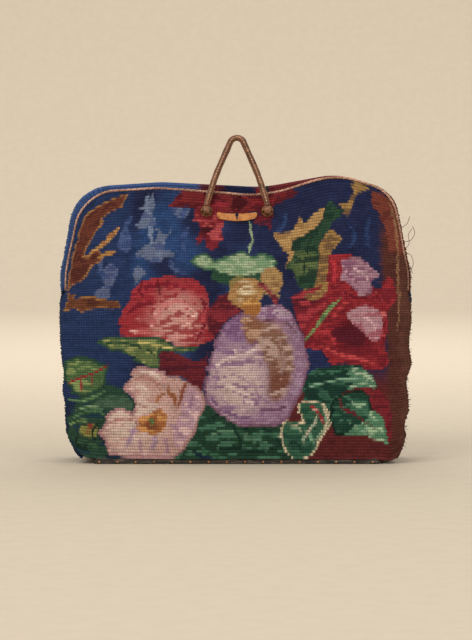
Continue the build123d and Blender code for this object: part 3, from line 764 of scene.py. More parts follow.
          "65744a", rim="34503a", rimWidth=3, fleck=("96985f", 0.5)),
    stroke([(-186, 172), (-164, 174), (-140, 168), (-120, 160), (-110, 148)], 3, "2c4632"),
    stroke([(-140, 176), (-118, 170), (-92, 166)], 4, "c0b470"),
    # veined leaf at the left margin
    patch([(-245, 147), (-237, 150), (-229, 153), (-215, 152), (-204, 149), (-195, 145), (-182, 139), (-185, 130),
           (-187, 115), (-197, 105), (-209, 100), (-222, 97), (-234, 102), (-237, 108), (-245, 115), (-246, 130)],
          "4f6a44", rim="2c4a38", rimWidth=4, fleck=("84935c", 0.5)),
    stroke([(-183, 141), (-204, 130), (-226, 122), (-242, 114)], 3.4, "8c2c34"),
    stroke([(-221, 124), (-221, 104)], 2.6, "8c3436"),
    stroke([(-207, 131), (-206, 115)], 2.6, "8c3436"),
    # dark leaves low on the left
    patch([(-194, 112), (-179, 113), (-165, 108), (-158, 105), (-150, 97), (-145, 83), (-147, 73), (-155, 78),
           (-165, 82), (-175, 78), (-185, 70), (-189, 55), (-197, 46), (-192, 31), (-185, 23), (-185, 14), (-192, 6),
           (-214, 11), (-234, 26), (-242, 43), (-244, 63), (-237, 71), (-229, 87), (-226, 98), (-209, 100)],
          "2f4a3a", fleck=("1f3644", 0.35)),
    patch([(-204, 88), (-184, 97), (-158, 98), (-150, 90), (-148, 78), (-158, 80), (-172, 80), (-187, 82)], "4a6450",
          fleck=("2f4c3b", 0.4)),
    stroke([(-236, 64), (-218, 74), (-200, 78), (-188, 70)], 4, "4e6e4c"),
    stroke([(-230, 34), (-212, 30), (-196, 20)], 5, "3f6046"),
    patch([(-223, 50), (-217, 55), (-207, 58), (-200, 55), (-199, 46), (-201, 39), (-210, 37), (-221, 42)], "8a8a4c",
          heart=(-209, 54, 9, "8a3c34")),
    stroke([(-240, 92), (-222, 90), (-204, 96), (-186, 106)], 5, "5a7a54", fleck=("86a070", 0.4)),
    stroke([(-228, 78), (-208, 82), (-190, 80)], 3.5, "7d9a74", fleck=("4e6e4c", 0.4)),
    stroke([(-238, 56), (-226, 62), (-212, 62)], 3.5, "6e8a58"),
    stroke([(-196, 60), (-206, 46), (-202, 30)], 4, "1c3028"),
    stroke([(-226, 44), (-228, 30), (-214, 20)], 4, "1c3028"),
    stroke([(-240, 84), (-243, 66), (-240, 46)], 4, "232a46"),
    # green mass along the bottom
    patch([(-62, 50), (-46, 92), (-30, 84), (-13, 66), (6, 60), (34, 60), (62, 62), (70, 40), (84, 4), (-40, 2),
           (-96, 2), (-76, 20)], "274535", fleck=("47705a", 0.4)),
    stroke([(-44, 40), (-20, 48), (6, 44), (30, 34)], 4, "5f8468", fleck=("2f4e3d", 0.4)),
    stroke([(-30, 20), (-4, 24), (24, 18), (52, 24)], 4, "1b332c"),
    stroke([(-10, 60), (2, 44), (6, 24)], 3.4, "1b332c"),
    stroke([(-40, 64), (-20, 74), (4, 58), (20, 46)], 5, "1b332c", fleck=("2f5442", 0.4)),
    stroke([(34, 54), (48, 44), (62, 30), (70, 14)], 5, "1d362e", fleck=("3a6650", 0.4)),
    stroke([(-56, 30), (-40, 16), (-16, 10)], 5, "3e6a52", fleck=("22403a", 0.4)),
    stroke([(8, 34), (26, 38), (44, 30)], 4, "577f66", fleck=("2f5442", 0.4)),
    stroke([(-64, 22), (-50, 10), (-30, 8)], 4, "1c2c3c"),
    # pale rose at the lower left
    patch([(-142, 139), (-128, 139), (-113, 136), (-103, 132), (-98, 127), (-83, 126), (-73, 120), (-59, 112),
           (-49, 103), (-44, 88), (-49, 75), (-56, 60), (-59, 46), (-68, 33), (-73, 23), (-81, 16), (-91, 9),
           (-125, 7), (-152, 8), (-165, 10), (-184, 16), (-185, 28), (-190, 34), (-197, 46), (-189, 55), (-185, 70),
           (-175, 78), (-165, 82), (-155, 79), (-148, 73), (-145, 83), (-148, 97), (-158, 105), (-160, 113),
           (-153, 122), (-152, 130)], "c9a098", rim="a87e80", rimWidth=4, heart=(-150, 66, 66, "dcc2b6"),
          fleck=("b98f88", 0.3)),
    patch([(-70, 112), (-56, 104), (-49, 88), (-54, 72), (-62, 52), (-72, 36), (-84, 22), (-92, 40), (-84, 66),
           (-78, 92)], "bd97a4", fleck=("d8b4b0", 0.4)),
    stroke([(-152, 118), (-136, 124), (-118, 118), (-108, 104)], 5, "b8867c"),
    stroke([(-180, 60), (-162, 66), (-146, 62), (-138, 48)], 4, "b4827c"),
    stroke([(-158, 24), (-150, 38), (-146, 52)], 7, "ab8da4", soft=3),
    stroke([(-124, 18), (-118, 30), (-116, 42)], 7, "ab8da4", soft=3),
    stroke([(-172, 20), (-140, 14), (-108, 16), (-84, 26)], 4, "c89c98"),
    patch([(-121, 77), (-108, 80), (-99, 72), (-101, 56), (-110, 45), (-125, 44), (-138, 51), (-140, 61), (-133, 68),
           (-123, 69)], "a4683f", heart=(-120, 58, 14, "8a5236"), fleck=("c89058", 0.35)),
    patch([(-126, 62), (-121, 65), (-117, 60), (-121, 56)], "5f7a4a"),
    stroke([(-190, 46), (-176, 56), (-158, 60)], 4, "b68a88", fleck=("dcc0b6", 0.5)),
    stroke([(-136, 132), (-120, 130), (-108, 122)], 6, "dcc2ba"),
    stroke([(-150, 108), (-138, 112), (-126, 106)], 6, "e0c8be", fleck=("c09a96", 0.3)),
    stroke([(-146, 92), (-136, 84), (-128, 80)], 4, "b88c88"),
    stroke([(-98, 60), (-86, 50), (-78, 38)], 5, "a57e94", fleck=("ccaab0", 0.4), soft=3),
    stroke([(-136, 38), (-138, 24), (-130, 14)], 5, "ab8698", fleck=("d4b4ae", 0.4), soft=3),
    stroke([(-104, 36), (-98, 24), (-102, 14)], 5, "a37e92", fleck=("ccaab0", 0.4), soft=3),
    stroke([(-64, 100), (-66, 84), (-72, 68)], 5, "9c7890", fleck=("c8a8b2", 0.4), soft=3),
    stroke([(-99, 114), (-97, 102), (-89, 96), (-90, 78)], 7, "9a6040", fleck=("bd9078", 0.4), soft=1.8),
    stroke([(-71, 119), (-78, 104), (-81, 90), (-88, 78)], 6, "8c5242", fleck=("b5887c", 0.4), soft=1.8),
    stroke([(-100, 104), (-110, 96), (-112, 86)], 3.4, "a06a48"),
    # large mauve rose in the middle
    patch([(47, 224), (63, 226), (76, 218), (84, 202), (93, 185), (98, 164), (103, 144), (97, 124), (94, 107),
           (80, 80), (73, 66), (60, 56), (34, 55), (6, 56), (-13, 62), (-24, 70), (-37, 83), (-46, 94), (-47, 113),
           (-43, 134), (-38, 152), (-34, 170), (-27, 186), (-16, 200), (0, 212), (18, 220), (32, 224)],
          "a2829a", rim="7e5a70", rimWidth=4.5, heart=(2, 116, 62, "d0b6b2"), fleck=("846280", 0.45)),
    patch([(18, 198), (36, 206), (58, 198), (72, 180), (80, 152), (78, 122), (68, 100), (54, 90), (42, 104),
           (44, 128),
           (36, 152), (20, 174)], "8d6555", heart=(56, 116, 30, "7c4f42"), fleck=("b59a92", 0.5), soft=6),
    stroke([(78, 190), (90, 166), (92, 140), (84, 108), (68, 84)], 10, "a98ba2", fleck=("86647e", 0.45), soft=3),
    stroke([(60, 176), (66, 152), (62, 128)], 6, "a5857f", fleck=("7e5448", 0.4), soft=3),
    patch([(30, 221), (48, 226), (64, 224), (78, 212), (72, 203), (54, 206), (36, 205)], "ab8da4",
          heart=(54, 218, 14, "bda0ae"), fleck=("7a5474", 0.3), soft=1.8),
    stroke([(30, 204), (50, 205), (70, 200), (84, 186)], 4, "6b4450", fleck=("93707c", 0.4), soft=2),
    patch([(-20, 196), (-6, 206), (10, 210), (20, 200), (18, 184), (6, 176), (-12, 178)], "8e6c90",
          heart=(-4, 194, 16, "9d7ca0"), fleck=("6f4d70", 0.35), soft=3),
    patch([(8, 208), (22, 212), (34, 204), (34, 186), (24, 172), (12, 178)], "8c5f4a", fleck=("b08c74", 0.4), soft=4),
    stroke([(-32, 166), (-10, 160), (12, 164), (28, 176)], 5, "80608a", fleck=("a5859a", 0.4), soft=3),
    stroke([(-40, 128), (-20, 148), (8, 156), (36, 152)], 4.5, "d2bab6"),
    stroke([(-38, 98), (-26, 82), (-4, 70), (22, 66)], 6, "7f5f80", fleck=("a5859a", 0.4)),
    stroke([(-16, 132), (6, 124), (24, 112), (30, 94)], 4, "b08f9c"),
    stroke([(-21, 118), (0, 108), (18, 100)], 6, "dcc8c0", fleck=("cbb0ae", 0.4)),
    stroke([(34, 80), (54, 78), (70, 84)], 5, "76506a"),
    stroke([(-34, 150), (-30, 128), (-34, 106)], 6, "b596a4", fleck=("8a6884", 0.4)),
    stroke([(-10, 166), (14, 160), (34, 166)], 6, "b797a6", fleck=("e0ccc6", 0.4)),
    stroke([(28, 172), (34, 156), (32, 140)], 5, "8d6e88", fleck=("c6aab0", 0.4), soft=2.5),
    stroke([(8, 100), (22, 88), (40, 82)], 5, "9a7a92", fleck=("d6bfbc", 0.4)),
    stroke([(-24, 96), (-12, 86), (4, 80)], 5, "b797a8", fleck=("86648a", 0.4)),
    # maroon swirl and tan petals above it
    patch([(-42, 200), (-40, 218), (-30, 234), (-14, 244), (2, 244), (10, 232), (6, 218), (-8, 210), (-20, 198),
           (-30, 184), (-38, 186)], "5a222c", heart=(-24, 212, 14, "8e323a"), fleck=("7e2c34", 0.4), soft=1.8),
    patch([(-12, 238), (-6, 254), (8, 264), (26, 264), (38, 252), (36, 238), (26, 228), (14, 220), (2, 224),
           (-6, 230)], "b58a58", heart=(12, 248, 17, "dcc7a2"), fleck=("8a6440", 0.35), soft=1.6),
    patch([(6, 228), (20, 234), (34, 230), (32, 216), (22, 210), (10, 216)],
          "a56d3c", fleck=("c99a5c", 0.35), soft=1.6),
    stroke([(30, 258), (42, 250), (52, 238), (56, 228)], 6, "6e2a30", fleck=("93444a", 0.3), soft=1.8),
    stroke([(40, 262), (50, 252), (60, 238)], 5, "c49a68", fleck=("8c6a48", 0.4), soft=1.6),
    # leaves low on the right
    patch([(95, 114), (103, 129), (118, 138), (136, 141), (155, 143), (175, 140), (189, 129), (198, 109), (175, 110),
           (155, 105), (148, 99), (136, 90), (133, 71), (129, 69), (123, 88), (99, 90), (94, 99)], "1f3d34",
          fleck=("38604c", 0.45)),
    patch([(155, 131), (175, 137), (189, 127), (198, 109), (178, 111), (158, 106), (150, 104), (166, 117)], "557f66",
          fleck=("a3b89a", 0.25)),
    stroke([(100, 110), (126, 118), (152, 122), (178, 120)], 3.4, "7ea58a"),
    patch([(148, 99), (155, 103), (175, 106), (187, 99), (192, 80), (205, 69), (211, 50), (216, 28), (200, 36),
           (183, 41), (151, 41), (136, 50), (133, 71), (136, 90)], "24473a", rim="152b25", rimWidth=3,
          fleck=("426c55", 0.45)),
    patch([(181, 62), (192, 75), (205, 69), (211, 50), (216, 28), (200, 36), (183, 41), (153, 41), (159, 49)],
          "5c8a6c",
          fleck=("a8bf9c", 0.3)),
    stroke([(146, 95), (149, 82), (170, 69), (196, 50)], 3.4, "6a2a30"),
    stroke([(160, 92), (172, 84), (184, 86)], 3, "88a688"),
    stroke([(176, 62), (186, 52), (200, 48)], 3, "9fbf9a"),
    stroke([(160, 60), (176, 48), (196, 42)], 3, "8fb396", fleck=("3c6650", 0.4)),
    stroke([(184, 74), (194, 64), (206, 60)], 3, "7fa88a", fleck=("3c6650", 0.4)),
    stroke([(186, 40), (200, 36), (213, 31)], 2.6, "a9c4a2"),
    stroke([(166, 128), (180, 124), (192, 116)], 3, "8cb094", fleck=("3c6650", 0.3)),
    stroke([(172, 116), (184, 114), (196, 110)], 2.6, "a3bf9e"),
    stroke([(110, 126), (128, 132), (150, 134)], 3, "3f6c55", fleck=("6f9a7e", 0.4)),
    # scalloped leaf curl beside the mauve rose
    patch([(88, 88), (99, 90), (123, 88), (131, 71), (134, 60), (125, 43), (116, 28), (107, 13), (88, 5), (77, 9),
           (66, 24), (62, 39), (65, 60), (80, 63), (92, 62), (88, 75)], "3c6650", rim="d8c8a8", rimWidth=2.6,
          fleck=("244438", 0.35)),
    stroke([(122, 82), (128, 66), (124, 50), (112, 34)], 4.6, "cfc0a4", fleck=("6f9078", 0.4)),
    stroke([(112, 74), (112, 60), (100, 46), (94, 30)], 4, "c9bba2", fleck=("7f9c86", 0.4)),
    stroke([(70, 58), (84, 56), (94, 46)], 3.6, "c4b89e", fleck=("54806a", 0.4)),
    stroke([(95, 84), (108, 82), (118, 70), (124, 58)], 4.6, "a03038", fleck=("d09a90", 0.3)),
    stroke([(74, 50), (90, 50), (104, 42), (110, 28)], 3.4, "7fa88a"),
    stroke([(72, 34), (86, 30), (96, 20)], 3, "1f3c31"),
    patch([(175, 108), (194, 109), (209, 101), (218, 80), (221, 43), (215, 31), (211, 50), (205, 69), (192, 80),
           (187, 99)], "7e2a31", fleck=("571d25", 0.5)),
]


def within(motif, left, right, low, high):
    return all(left < x < right and low < z < high for x, z in motif["line"])


def moved(motif, dx, dz, mirror=False, scale=1.0, about=(0, 180)):
    # the same motif elsewhere on the cloth
    flip = -1 if mirror else 1
    place = lambda p: (about[0] + flip * scale * (p[0] - about[0]) + dx,
                       about[1] + scale * (p[1] - about[1]) + dz)
    copy = dict(motif, line=[place(p) for p in motif["line"]])
    if motif["heart"]:
        x, z, spread, colour = motif["heart"]
        copy["heart"] = (*place((x, z)), spread * scale, colour)
    return copy


def backGround(x, z):
    # navy, bluer towards one side and greyer low down
    cloud = softWaves(x * 1.4 + 90, z * 0.9, 8)
    colour = laid(colourOf("252b4b"), 0.7 * ramp(-0.3, 0.9, cloud) * ramp(-60, 120, x), "2f4a78")
    return laid(colour, ramp(90, 40, z + 0.1 * x), "26303f")


# the back has the same motifs mirrored, nearly all a little larger, with a rose and a corner's leaves again
sameSize = 8  # the first few, of the blue-grey flowers
backMotifs = [moved(m, 12, -6, mirror=True) for m in frontMotifs[:sameSize]]
backMotifs += [moved(m, 56, -8, mirror=True, scale=1.06) for m in frontMotifs[sameSize:]]
backMotifs = [m for m in backMotifs if max(p[1] for p in m["line"]) < 402 and max(p[0] for p in m["line"]) > -130]
crimsonRose = [m for m in frontMotifs if within(m, -172, -28, 160, 270)]
backMotifs += [moved(m, -92, 108, scale=0.8, about=(-98, 215)) for m in crimsonRose]
backMotifs += [m for m in frontMotifs if within(m, -250, -140, 0, 160)]


def edgeLip(x):
    # colours of the back's turned-over edge, seen above the cord
    bands = [(-400, "41598a"), (-54, "5e2830"), (-19, "232848"), (27, "8a2f34"), (34, "26343a"), (44, "6e2c30"),
             (150, "5c352c")]
    colour = np.zeros((*x.shape, 3))
    for start, code in bands:
        colour[x >= start] = colourOf(code)
    return colour


panels = {
    "flatterAtLock": 0.9,
    "tuftByRib": 0.45,
    "tuftUneven": 0.5,
    "borderDeepens": (236, 252),  # heights: shallow below the hinge, nearly to the other half above it
    "shallowBorder": 6,
    "gapAtMouth": 1.2,  # from the border to the bag's middle
}


def buildPanel(name, outline, depthAt, facing, seed, motifs, ground, skirt):
    # facing is -1 for the front and 1 for the back
    x, z = panelSheet(outline)
    rows, columns = x.shape
    ribSign = ribSigns(rows)
    depth = faceDepth(x, z, depthAt) + body["waveDepth"] * softWaves(x, z, seed)
    if facing < 0:
        depth = depth - panels["flatterAtLock"] * ramp(78, 62, np.abs(x)) * ramp(326, 338, z)
    depth = depth + body["ribHeight"] * ribSign
    draw = np.random.default_rng(seed + 1)
    ends = np.abs(np.linspace(-1, 1, columns))[None, :]
    tuft = panels["tuftByRib"] * ribSign + panels["tuftUneven"] * draw.normal(size=(rows, 1))
    x = x + np.sign(x) * tuft * ramp(0.985, 1.0, ends)
    points = [np.stack([x, facing * depth, z], axis=-1).reshape(-1, 3)]
    faces = gridFaces(rows, columns)
    uvs = [gridUvs(rows, columns).reshape(-1, 4, 2)]

    # one colour for each rib and thread
    middle = lambda a: 0.25 * (a[:-2:2, :-1] + a[2::2, :-1] + a[:-2:2, 1:] + a[2::2, 1:])
    cells = paintCells(middle(x), middle(z), motifs, ground, seed + 2)
    colours = [cellColours(cells)]

    # the border goes over the edge and back towards the other half
    order = borderOrder(rows, columns)
    loop = np.stack([x[order[:, 0], order[:, 1]], z[order[:, 0], order[:, 1]]], axis=1)
    out = outwardAt(loop)
    edgeDepth = depth[order[:, 0], order[:, 1]]
    above = ramp(*panels["borderDeepens"], loop[:, 1])
    shallow = panels["shallowBorder"]
    run = shallow + (edgeDepth - panels["gapAtMouth"] - shallow) * above
    count = len(order)
    ring = order[:, 0] * columns + order[:, 1]
    first = rows * columns
    onTop = (order[:, 0] == rows - 1) | (order[:, 0] == 0)
    alongEdge = np.where(onTop, order[:, 1], order[:, 0]) / 2.0
    cellRow = np.clip(order[:, 0] // 2, 0, cells.shape[0] - 1)
    cellColumn = np.clip(order[:, 1], 0, cells.shape[1] - 1)
    edgeColour = cells[cellRow, cellColumn]
    for step, (outBy, share) in enumerate(skirt):
        place = loop + out * outBy
        points.append(np.stack([place[:, 0], facing * (edgeDepth - run * share), place[:, 1]], axis=1))
        after = first + np.arange(count)
        following = np.roll(np.arange(count), -1)
        for i in range(count):
            faces.append((ring[i], after[i], after[following[i]], ring[following[i]]))
        if facing > 0 and outBy < 0.5 and step > 1:
            lip = edgeLip(loop[:, 0] + 3 * draw.normal(size=count)) * (0.8 + 0.4 * draw.random((count, 1)))
            shown = np.where((above > 0.5)[:, None], lip, edgeColour)
        else:
            shown = edgeColour
        colours.append(np.repeat(shown[:, None, :], 4, axis=1))
        near, far = step / 2.0, (step + 1) / 2.0
        here, there = alongEdge, alongEdge[following]
        along = np.stack([here, here, there, there], axis=1)
        across = np.broadcast_to([near, far, far, near], (count, 4))
        top = onTop[:, None]
        uvs.append(np.stack([np.where(top, along, across), np.where(top, across, along)], axis=-1))
        ring, first = after, first + count
    uvs, colours = np.concatenate(uvs), np.concatenate(colours)
    if facing > 0:
        faces = [tuple(reversed(face)) for face in faces]
        uvs, colours = uvs[:, ::-1], colours[:, ::-1]
    points = np.concatenate(points)
    return makePiece(name, points, faces, [made["carpetWool"]], colours.reshape(-1, 3), uvs.reshape(-1, 2))


lining = {
    "inside": 3.2,  # how far inside the panel's face
    "narrower": 0.018,  # shares by which it is drawn in from the panel's outline
    "shorter": 0.022,
    "aboutHeight": 190,
    "nearestMiddle": 1.6,
    "linen": "b9a684",
}


def buildLining(name, outline, depthAt, facing, seed):
    # plain linen just inside a panel, up to the turned-in edge
    x, z = panelSheet(outline)
    x, z = x[::2, ::8], z[::2, ::8]
    pull = lambda a, centre, by: centre + (a - centre) * (1 - by)
    x, z = pull(x, 0, lining["narrower"]), pull(z, lining["aboutHeight"], lining["shorter"])
    depth = faceDepth(x, z, depthAt) - lining["inside"] + body["waveDepth"] * softWaves(x, z, seed)
    depth = np.maximum(depth, lining["nearestMiddle"])
    rows, columns = x.shape
    faces = gridFaces(rows, columns)
    uvs = (gridUvs(rows, columns) * (24, 6)).reshape(-1, 4, 2)
    if facing < 0:
        faces = [tuple(reversed(face)) for face in faces]
        uvs = uvs[:, ::-1]
    tone = 1 + 0.015 * np.random.default_rng(seed).normal(size=(len(faces), 1))
    colours = np.repeat(colourOf(lining["linen"])[None, :] * tone, 4, axis=0)
    points = np.stack([x, facing * depth, z], axis=-1).reshape(-1, 3)
    return makePiece(name, points, faces, [made["liningLinen"]], colours, uvs.reshape(-1, 2))


# the border's rows: how far out from the outline, and what share of the way towards the other half
frontSkirt = [(0.5, 0.08), (0.5, 0.3), (0.1, 0.6), (-0.5, 0.9), (-1.6, 1.0), (-3.6, 1.0), (-6.0, 0.96)]
backSkirt = [(0.7, 0.08), (1.1, 0.3), (1.0, 0.65), (0.3, 0.9), (-1.2, 1.0), (-2.9, 1.0), (-4.6, 1.0), (-6.3, 1.0),
             (-8.0, 1.0), (-9.7, 1.0), (-11.4, 1.0), (-14.0, 1.0), (-17.0, 1.0)]

frontCarpet = buildPanel("frontCarpet", frontOutline, frontDepthAt, -1, 21, frontMotifs, frontGround, frontSkirt)
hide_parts("front_panel_upper", "front_panel_lower")
frontLining = buildLining("frontLining", frontOutline, frontDepthAt, -1, 21)
for piece in (frontCarpet, frontLining):
    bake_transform(piece)
print("front panel:", len(frontCarpet.data.polygons), "faces")

backCarpet = buildPanel("backCarpet", backOutline, backDepthAt, 1, 33, backMotifs, backGround, backSkirt)
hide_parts("back_panel")
backLining = buildLining("backLining", backOutline, backDepthAt, 1, 33)
for piece in (backCarpet, backLining):
    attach(piece, "bag")
print("back panel:", len(backCarpet.data.polygons), "faces")

# side gussets, folded in a little
gussets = {
    "lowHeight": 7.0,
    "topHeight": 243.0,
    "columns": 49,
    "insidePanels": 4.5,  # from a panel's face back to the gusset's edge
    "insideOutline": 1.6,
    "thickness": 2.4,
    "waveDepth": 0.8,
    "ribHeight": 0.3,
    "foldHeights": [4, 30, 90, 150, 200, 222, 250],
    "foldDepths": [1, 5, 13, 13, 6, 1, 0],
    "left": ("28305a", "3a4676"),
    "right": ("4e2a2a", "6a3a34"),
}


def buildGusset(name, side, outline, codes, seed):
    line = spaced(smoothLoop(outline, closed=False), 1.0)
    ribs = int((gussets["topHeight"] - gussets["lowHeight"]) / body["ribPitch"])
    z = np.linspace(gussets["lowHeight"], gussets["topHeight"], 2 * ribs + 1)[:, None]
    across = np.linspace(-1, 1, gussets["columns"])[None, :]
    edge = np.interp(z, line[:, 1], np.abs(line[:, 0]))
    edge = np.where(z < line[0, 1], edge - 14 * ((line[0, 1] - z) / 20) ** 2, edge)
    ahead, behind = (faceDepth(edge, z, depthAt) - gussets["insidePanels"] for depthAt in (frontDepthAt, backDepthAt))
    inward = smoothTable(gussets["foldHeights"], gussets["foldDepths"])(z)
    draw = np.random.default_rng(seed)
    wave = gussets["waveDepth"] * np.sin(z / 17 + seed) * (1 - across**2)
    ribSign = ribSigns(len(z))
    x = edge - gussets["insideOutline"] - inward * (1 - np.abs(across) ** 1.4) + wave + gussets["ribHeight"] * ribSign
    y = 0.5 * (behind - ahead) + 0.5 * across * (behind + ahead)
    points = np.stack([side * x, y, z + 0 * across], axis=-1).reshape(-1, 3)
    rows, columns = x.shape
    faces = gridFaces(rows, columns)
    uvs = gridUvs(rows, columns).reshape(-1, 4, 2)
    if side < 0:
        faces = [tuple(reversed(face)) for face in faces]
        uvs = uvs[:, ::-1]
    cellRows = (rows - 1) // 2
    long, short = dashes(cellRows, columns - 1, 5, draw), dashes(cellRows, columns - 1, 2, draw)
    cells = laid(colourOf(codes[0]), 0.5 + 0.35 * long + 0.2 * short, codes[1])
    colours = cellColours(cells)
    materials = [made["carpetWool"], made["liningLinen"]]
    piece = makePiece(name, points, faces, materials, colours.reshape(-1, 3), uvs.reshape(-1, 2))
    thick = piece.modifiers.new("thickness", "SOLIDIFY")
    thick.thickness = gussets["thickness"] * metresPerMillimetre
    thick.offset = -1
    thick.material_offset = 1
    applied = bpy.data.meshes.new_from_object(piece.evaluated_get(bpy.context.evaluated_depsgraph_get()))
    piece.modifiers.clear()
    piece.data = applied
    return piece


for label, side in (("left", -1), ("right", 1)):
    gusset = buildGusset(label + "Gusset", side, frontOutline[label], gussets[label], 40 + side)
    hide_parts("gusset_" + label)
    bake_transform(gusset)
print("gussets done")

# the leather-covered board under the bag, with its tacks
base = {
    "length": 410.0,
    "depth": 104.0,
    "corner": 8.0,
    # how far in each ring of the edge is, and its height: two soft rolls with a line between them
    "profile": [(1.6, 0.0), (0.5, 0.5), (0.0, 1.8), (0.35, 4.6), (0.35, 5.4), (0.0, 8.2), (0.5, 9.5), (1.6, 10.0)],
    "tackPitch": 26.0,
    "tackHeight": 3.1,
    "tackRadius": 1.5,
    "tackDome": 0.8,
}


def roundedRectangle(length, depth, corner, pieces=5):
    outline = []
    for sx, sy, start in ((1, 1, 0), (-1, 1, 90), (-1, -1, 180), (1, -1, 270)):
        for k in range(pieces + 1):
            angle = math.radians(start + 90 * k / pieces)
            x = sx * (length / 2 - corner) + corner * math.cos(angle)
            outline.append((x, sy * (depth / 2 - corner) + corner * math.sin(angle)))
    return np.array(outline)


def stackedRings(rings):
    # (outline, height) rings from the bottom up, closed at both ends
    count = len(rings[0][0])
    points = np.concatenate([np.column_stack([ring, np.full(count, height)]) for ring, height in rings])
    return points, gridFaces(len(rings), count, wrap=True) + endFaces(len(rings), count)


def dome(centre, radius, height, normal, sides=10):
    normal = np.array(normal, float) / np.linalg.norm(normal)
    across = np.cross(normal, [0.0, 0.0, 1.0] if abs(normal[2]) < 0.9 else [1.0, 0.0, 0.0])
    across /= np.linalg.norm(across)
    up = np.cross(normal, across)
    points = []
    for width, rise in ((1.0, 0.0), (0.92, 0.45), (0.6, 0.85)):
        for k in range(sides):
            angle = 2 * math.pi * k / sides
            spoke = math.cos(angle) * across + math.sin(angle) * up
            points.append(centre + radius * width * spoke + normal * height * rise)
    points.append(np.array(centre, float) + normal * height)
    faces = gridFaces(3, sides, wrap=True)
    faces += [(2 * sides + k, 2 * sides + (k + 1) % sides, 3 * sides) for k in range(sides)]
    return np.array(points), faces


def buildBase():
    length, depth, corner = base["length"], base["depth"], base["corner"]
    ring = lambda inset: roundedRectangle(length - 2 * inset, depth - 2 * inset, corner - inset)
    board = stackedRings([(ring(inset), height) for inset, height in base["profile"]])
    edge = spaced(np.vstack([ring(0.2), ring(0.2)[:1]]), base["tackPitch"])[:-1]
    tacks = []
    for px, py in edge:
        normal = (0, math.copysign(1, py), 0) if abs(py) > depth / 2 - 4 else (math.copysign(1, px), 0, 0)
        tacks.append(dome(np.array([px, py, base["tackHeight"]]), base["tackRadius"], base["tackDome"], normal))
    points, faces, counts = joined([board] + tacks)
    slots = np.repeat([0] + [1] * len(tacks), counts)
    return makePiece("baseBoard", points, faces, [made["boardLeather"], made["agedBrass"]], slots=slots)


baseBoard = buildBase()
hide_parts("base_board")
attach(baseBoard, "bag")

# the linen bottom inside the bag, turned up a little along its edges
bottom = {
    "halfLength": 206,
    "halfDepth": 47,
    "height": 12.2,
    "thickness": 2.0,
    "sidesTurnUp": 3.5,
    "endsTurnUp": 4,
    "waveDepth": 0.5,
    "linen": "b3a07e",
}


def buildBottomLining():
    rows, columns = 20, 60
    across, along = np.meshgrid(np.linspace(-bottom["halfLength"], bottom["halfLength"], columns),
                                np.linspace(-bottom["halfDepth"], bottom["halfDepth"], rows))
    sides = bottom["sidesTurnUp"] * (np.abs(along) / bottom["halfDepth"]) ** 6
    ends = bottom["endsTurnUp"] * (np.abs(across) / bottom["halfLength"]) ** 12
    rise = bottom["height"] + sides + ends + bottom["waveDepth"] * softWaves(across, along + 100, 4)
    points = np.stack([across, along, rise], axis=-1).reshape(-1, 3)
    faces = gridFaces(rows, columns)
    colours = np.tile(colourOf(bottom["linen"]), (4 * len(faces), 1))
    piece = makePiece("bottomLining", points, faces, [made["liningLinen"]], colours, gridUvs(rows, columns) * 6)
    piece.modifiers.new("thickness", "SOLIDIFY").thickness = bottom["thickness"] * metresPerMillimetre
    return piece


bottomLining = buildBottomLining()
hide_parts("bottom_panel")
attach(bottomLining, "bag")
print("base done")

# twisted cord along the front edge of the mouth
piping = {
    "strandRadius": 1.08,
    "twistRadius": 0.92,
    "pitch": 8.5,
    "outside": 1.9,  # from the mouth's outline out to the cord's middle
    "depth": -11.5,
    "unevenness": [(0.25, 23, 0), (0.2, 9.1, 2)],
}


def buildPiping():
    line = spaced(frontOutline["mouth"], 0.85)
    out = leftOf(line)
    place = line + out * piping["outside"]
    run = runAlong(place)
    drift = wander(run, piping["unevenness"])
    strands = []
    for turn in (0.0, math.pi):
        angle = 2 * math.pi * run / piping["pitch"] + turn
        across = piping["twistRadius"] * np.cos(angle) + drift
        deep = piping["twistRadius"] * np.sin(angle)
        flat = place + out * across[:, None]
        path = np.column_stack([flat[:, 0], piping["depth"] + deep, flat[:, 1]])
        strands.append(tube(path, piping["strandRadius"], 7))
    points, faces, counts = joined(strands)
    slots = np.repeat([0, 1], counts)
    return makePiece("mouthPiping", points, faces, [made["pipingCord"], made["pinkCord"]], slots=slots)


mouthPiping = buildPiping()
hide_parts("front_piping")
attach(mouthPiping, "mouth_front")
print("piping done")

# rolled leather handle
handle = {
    "bar": (43.5, -29.9232, 361.317),  # middle of each mount's bar, mirrored across the bag
    "lean": 13.98,  # degrees back from upright
    "leg": [(43.5, 0), (43.5, 8), (31, 50), (0, 122.2)],  # from the bar up to the crown, in the handle's plane
    "bends": [20, 300, 10.2, 300, 20],
    "radius": 4.7,
    "rollStart": 5.4,  # where the roll leaves the eyes, above the bars
    "sides": 30,
    "coreInset": 0.15,
    "grooveAngle": 0.62,  # radians round from the front to the groove beside the stitching
    "grooveDepth": 0.75,
    "grooveWidth": 0.16,
    "ridgeHeight": 0.3,
    "ridgeWidth": 0.4,
    "lumps": [(0.16, 6.1, 0), (0.1, 2.7, 1)],
    "endsNarrower": 0.12,
    "eye": [(-4.4, 3.4), (-4.6, 5.2), (-3.8, 6.0), (3.8, 6.0), (4.6, 5.2), (4.4, 3.4)],  # places along the bar, radii
    "eyeSides": 28,
    "stitchPitch": 4.6,
    "stitchRadii": [0.42, 0.6, 0.6, 0.42],
    "stitchHeights": [-0.2, 0.28, 0.28, -0.2],  # above the roll's face
}


def handlePath():
    corners = [(-x, h) for x, h in handle["leg"]] + handle["leg"][-2::-1]
    return spaced(roundedLine(corners, handle["bends"], 14), 1.2)


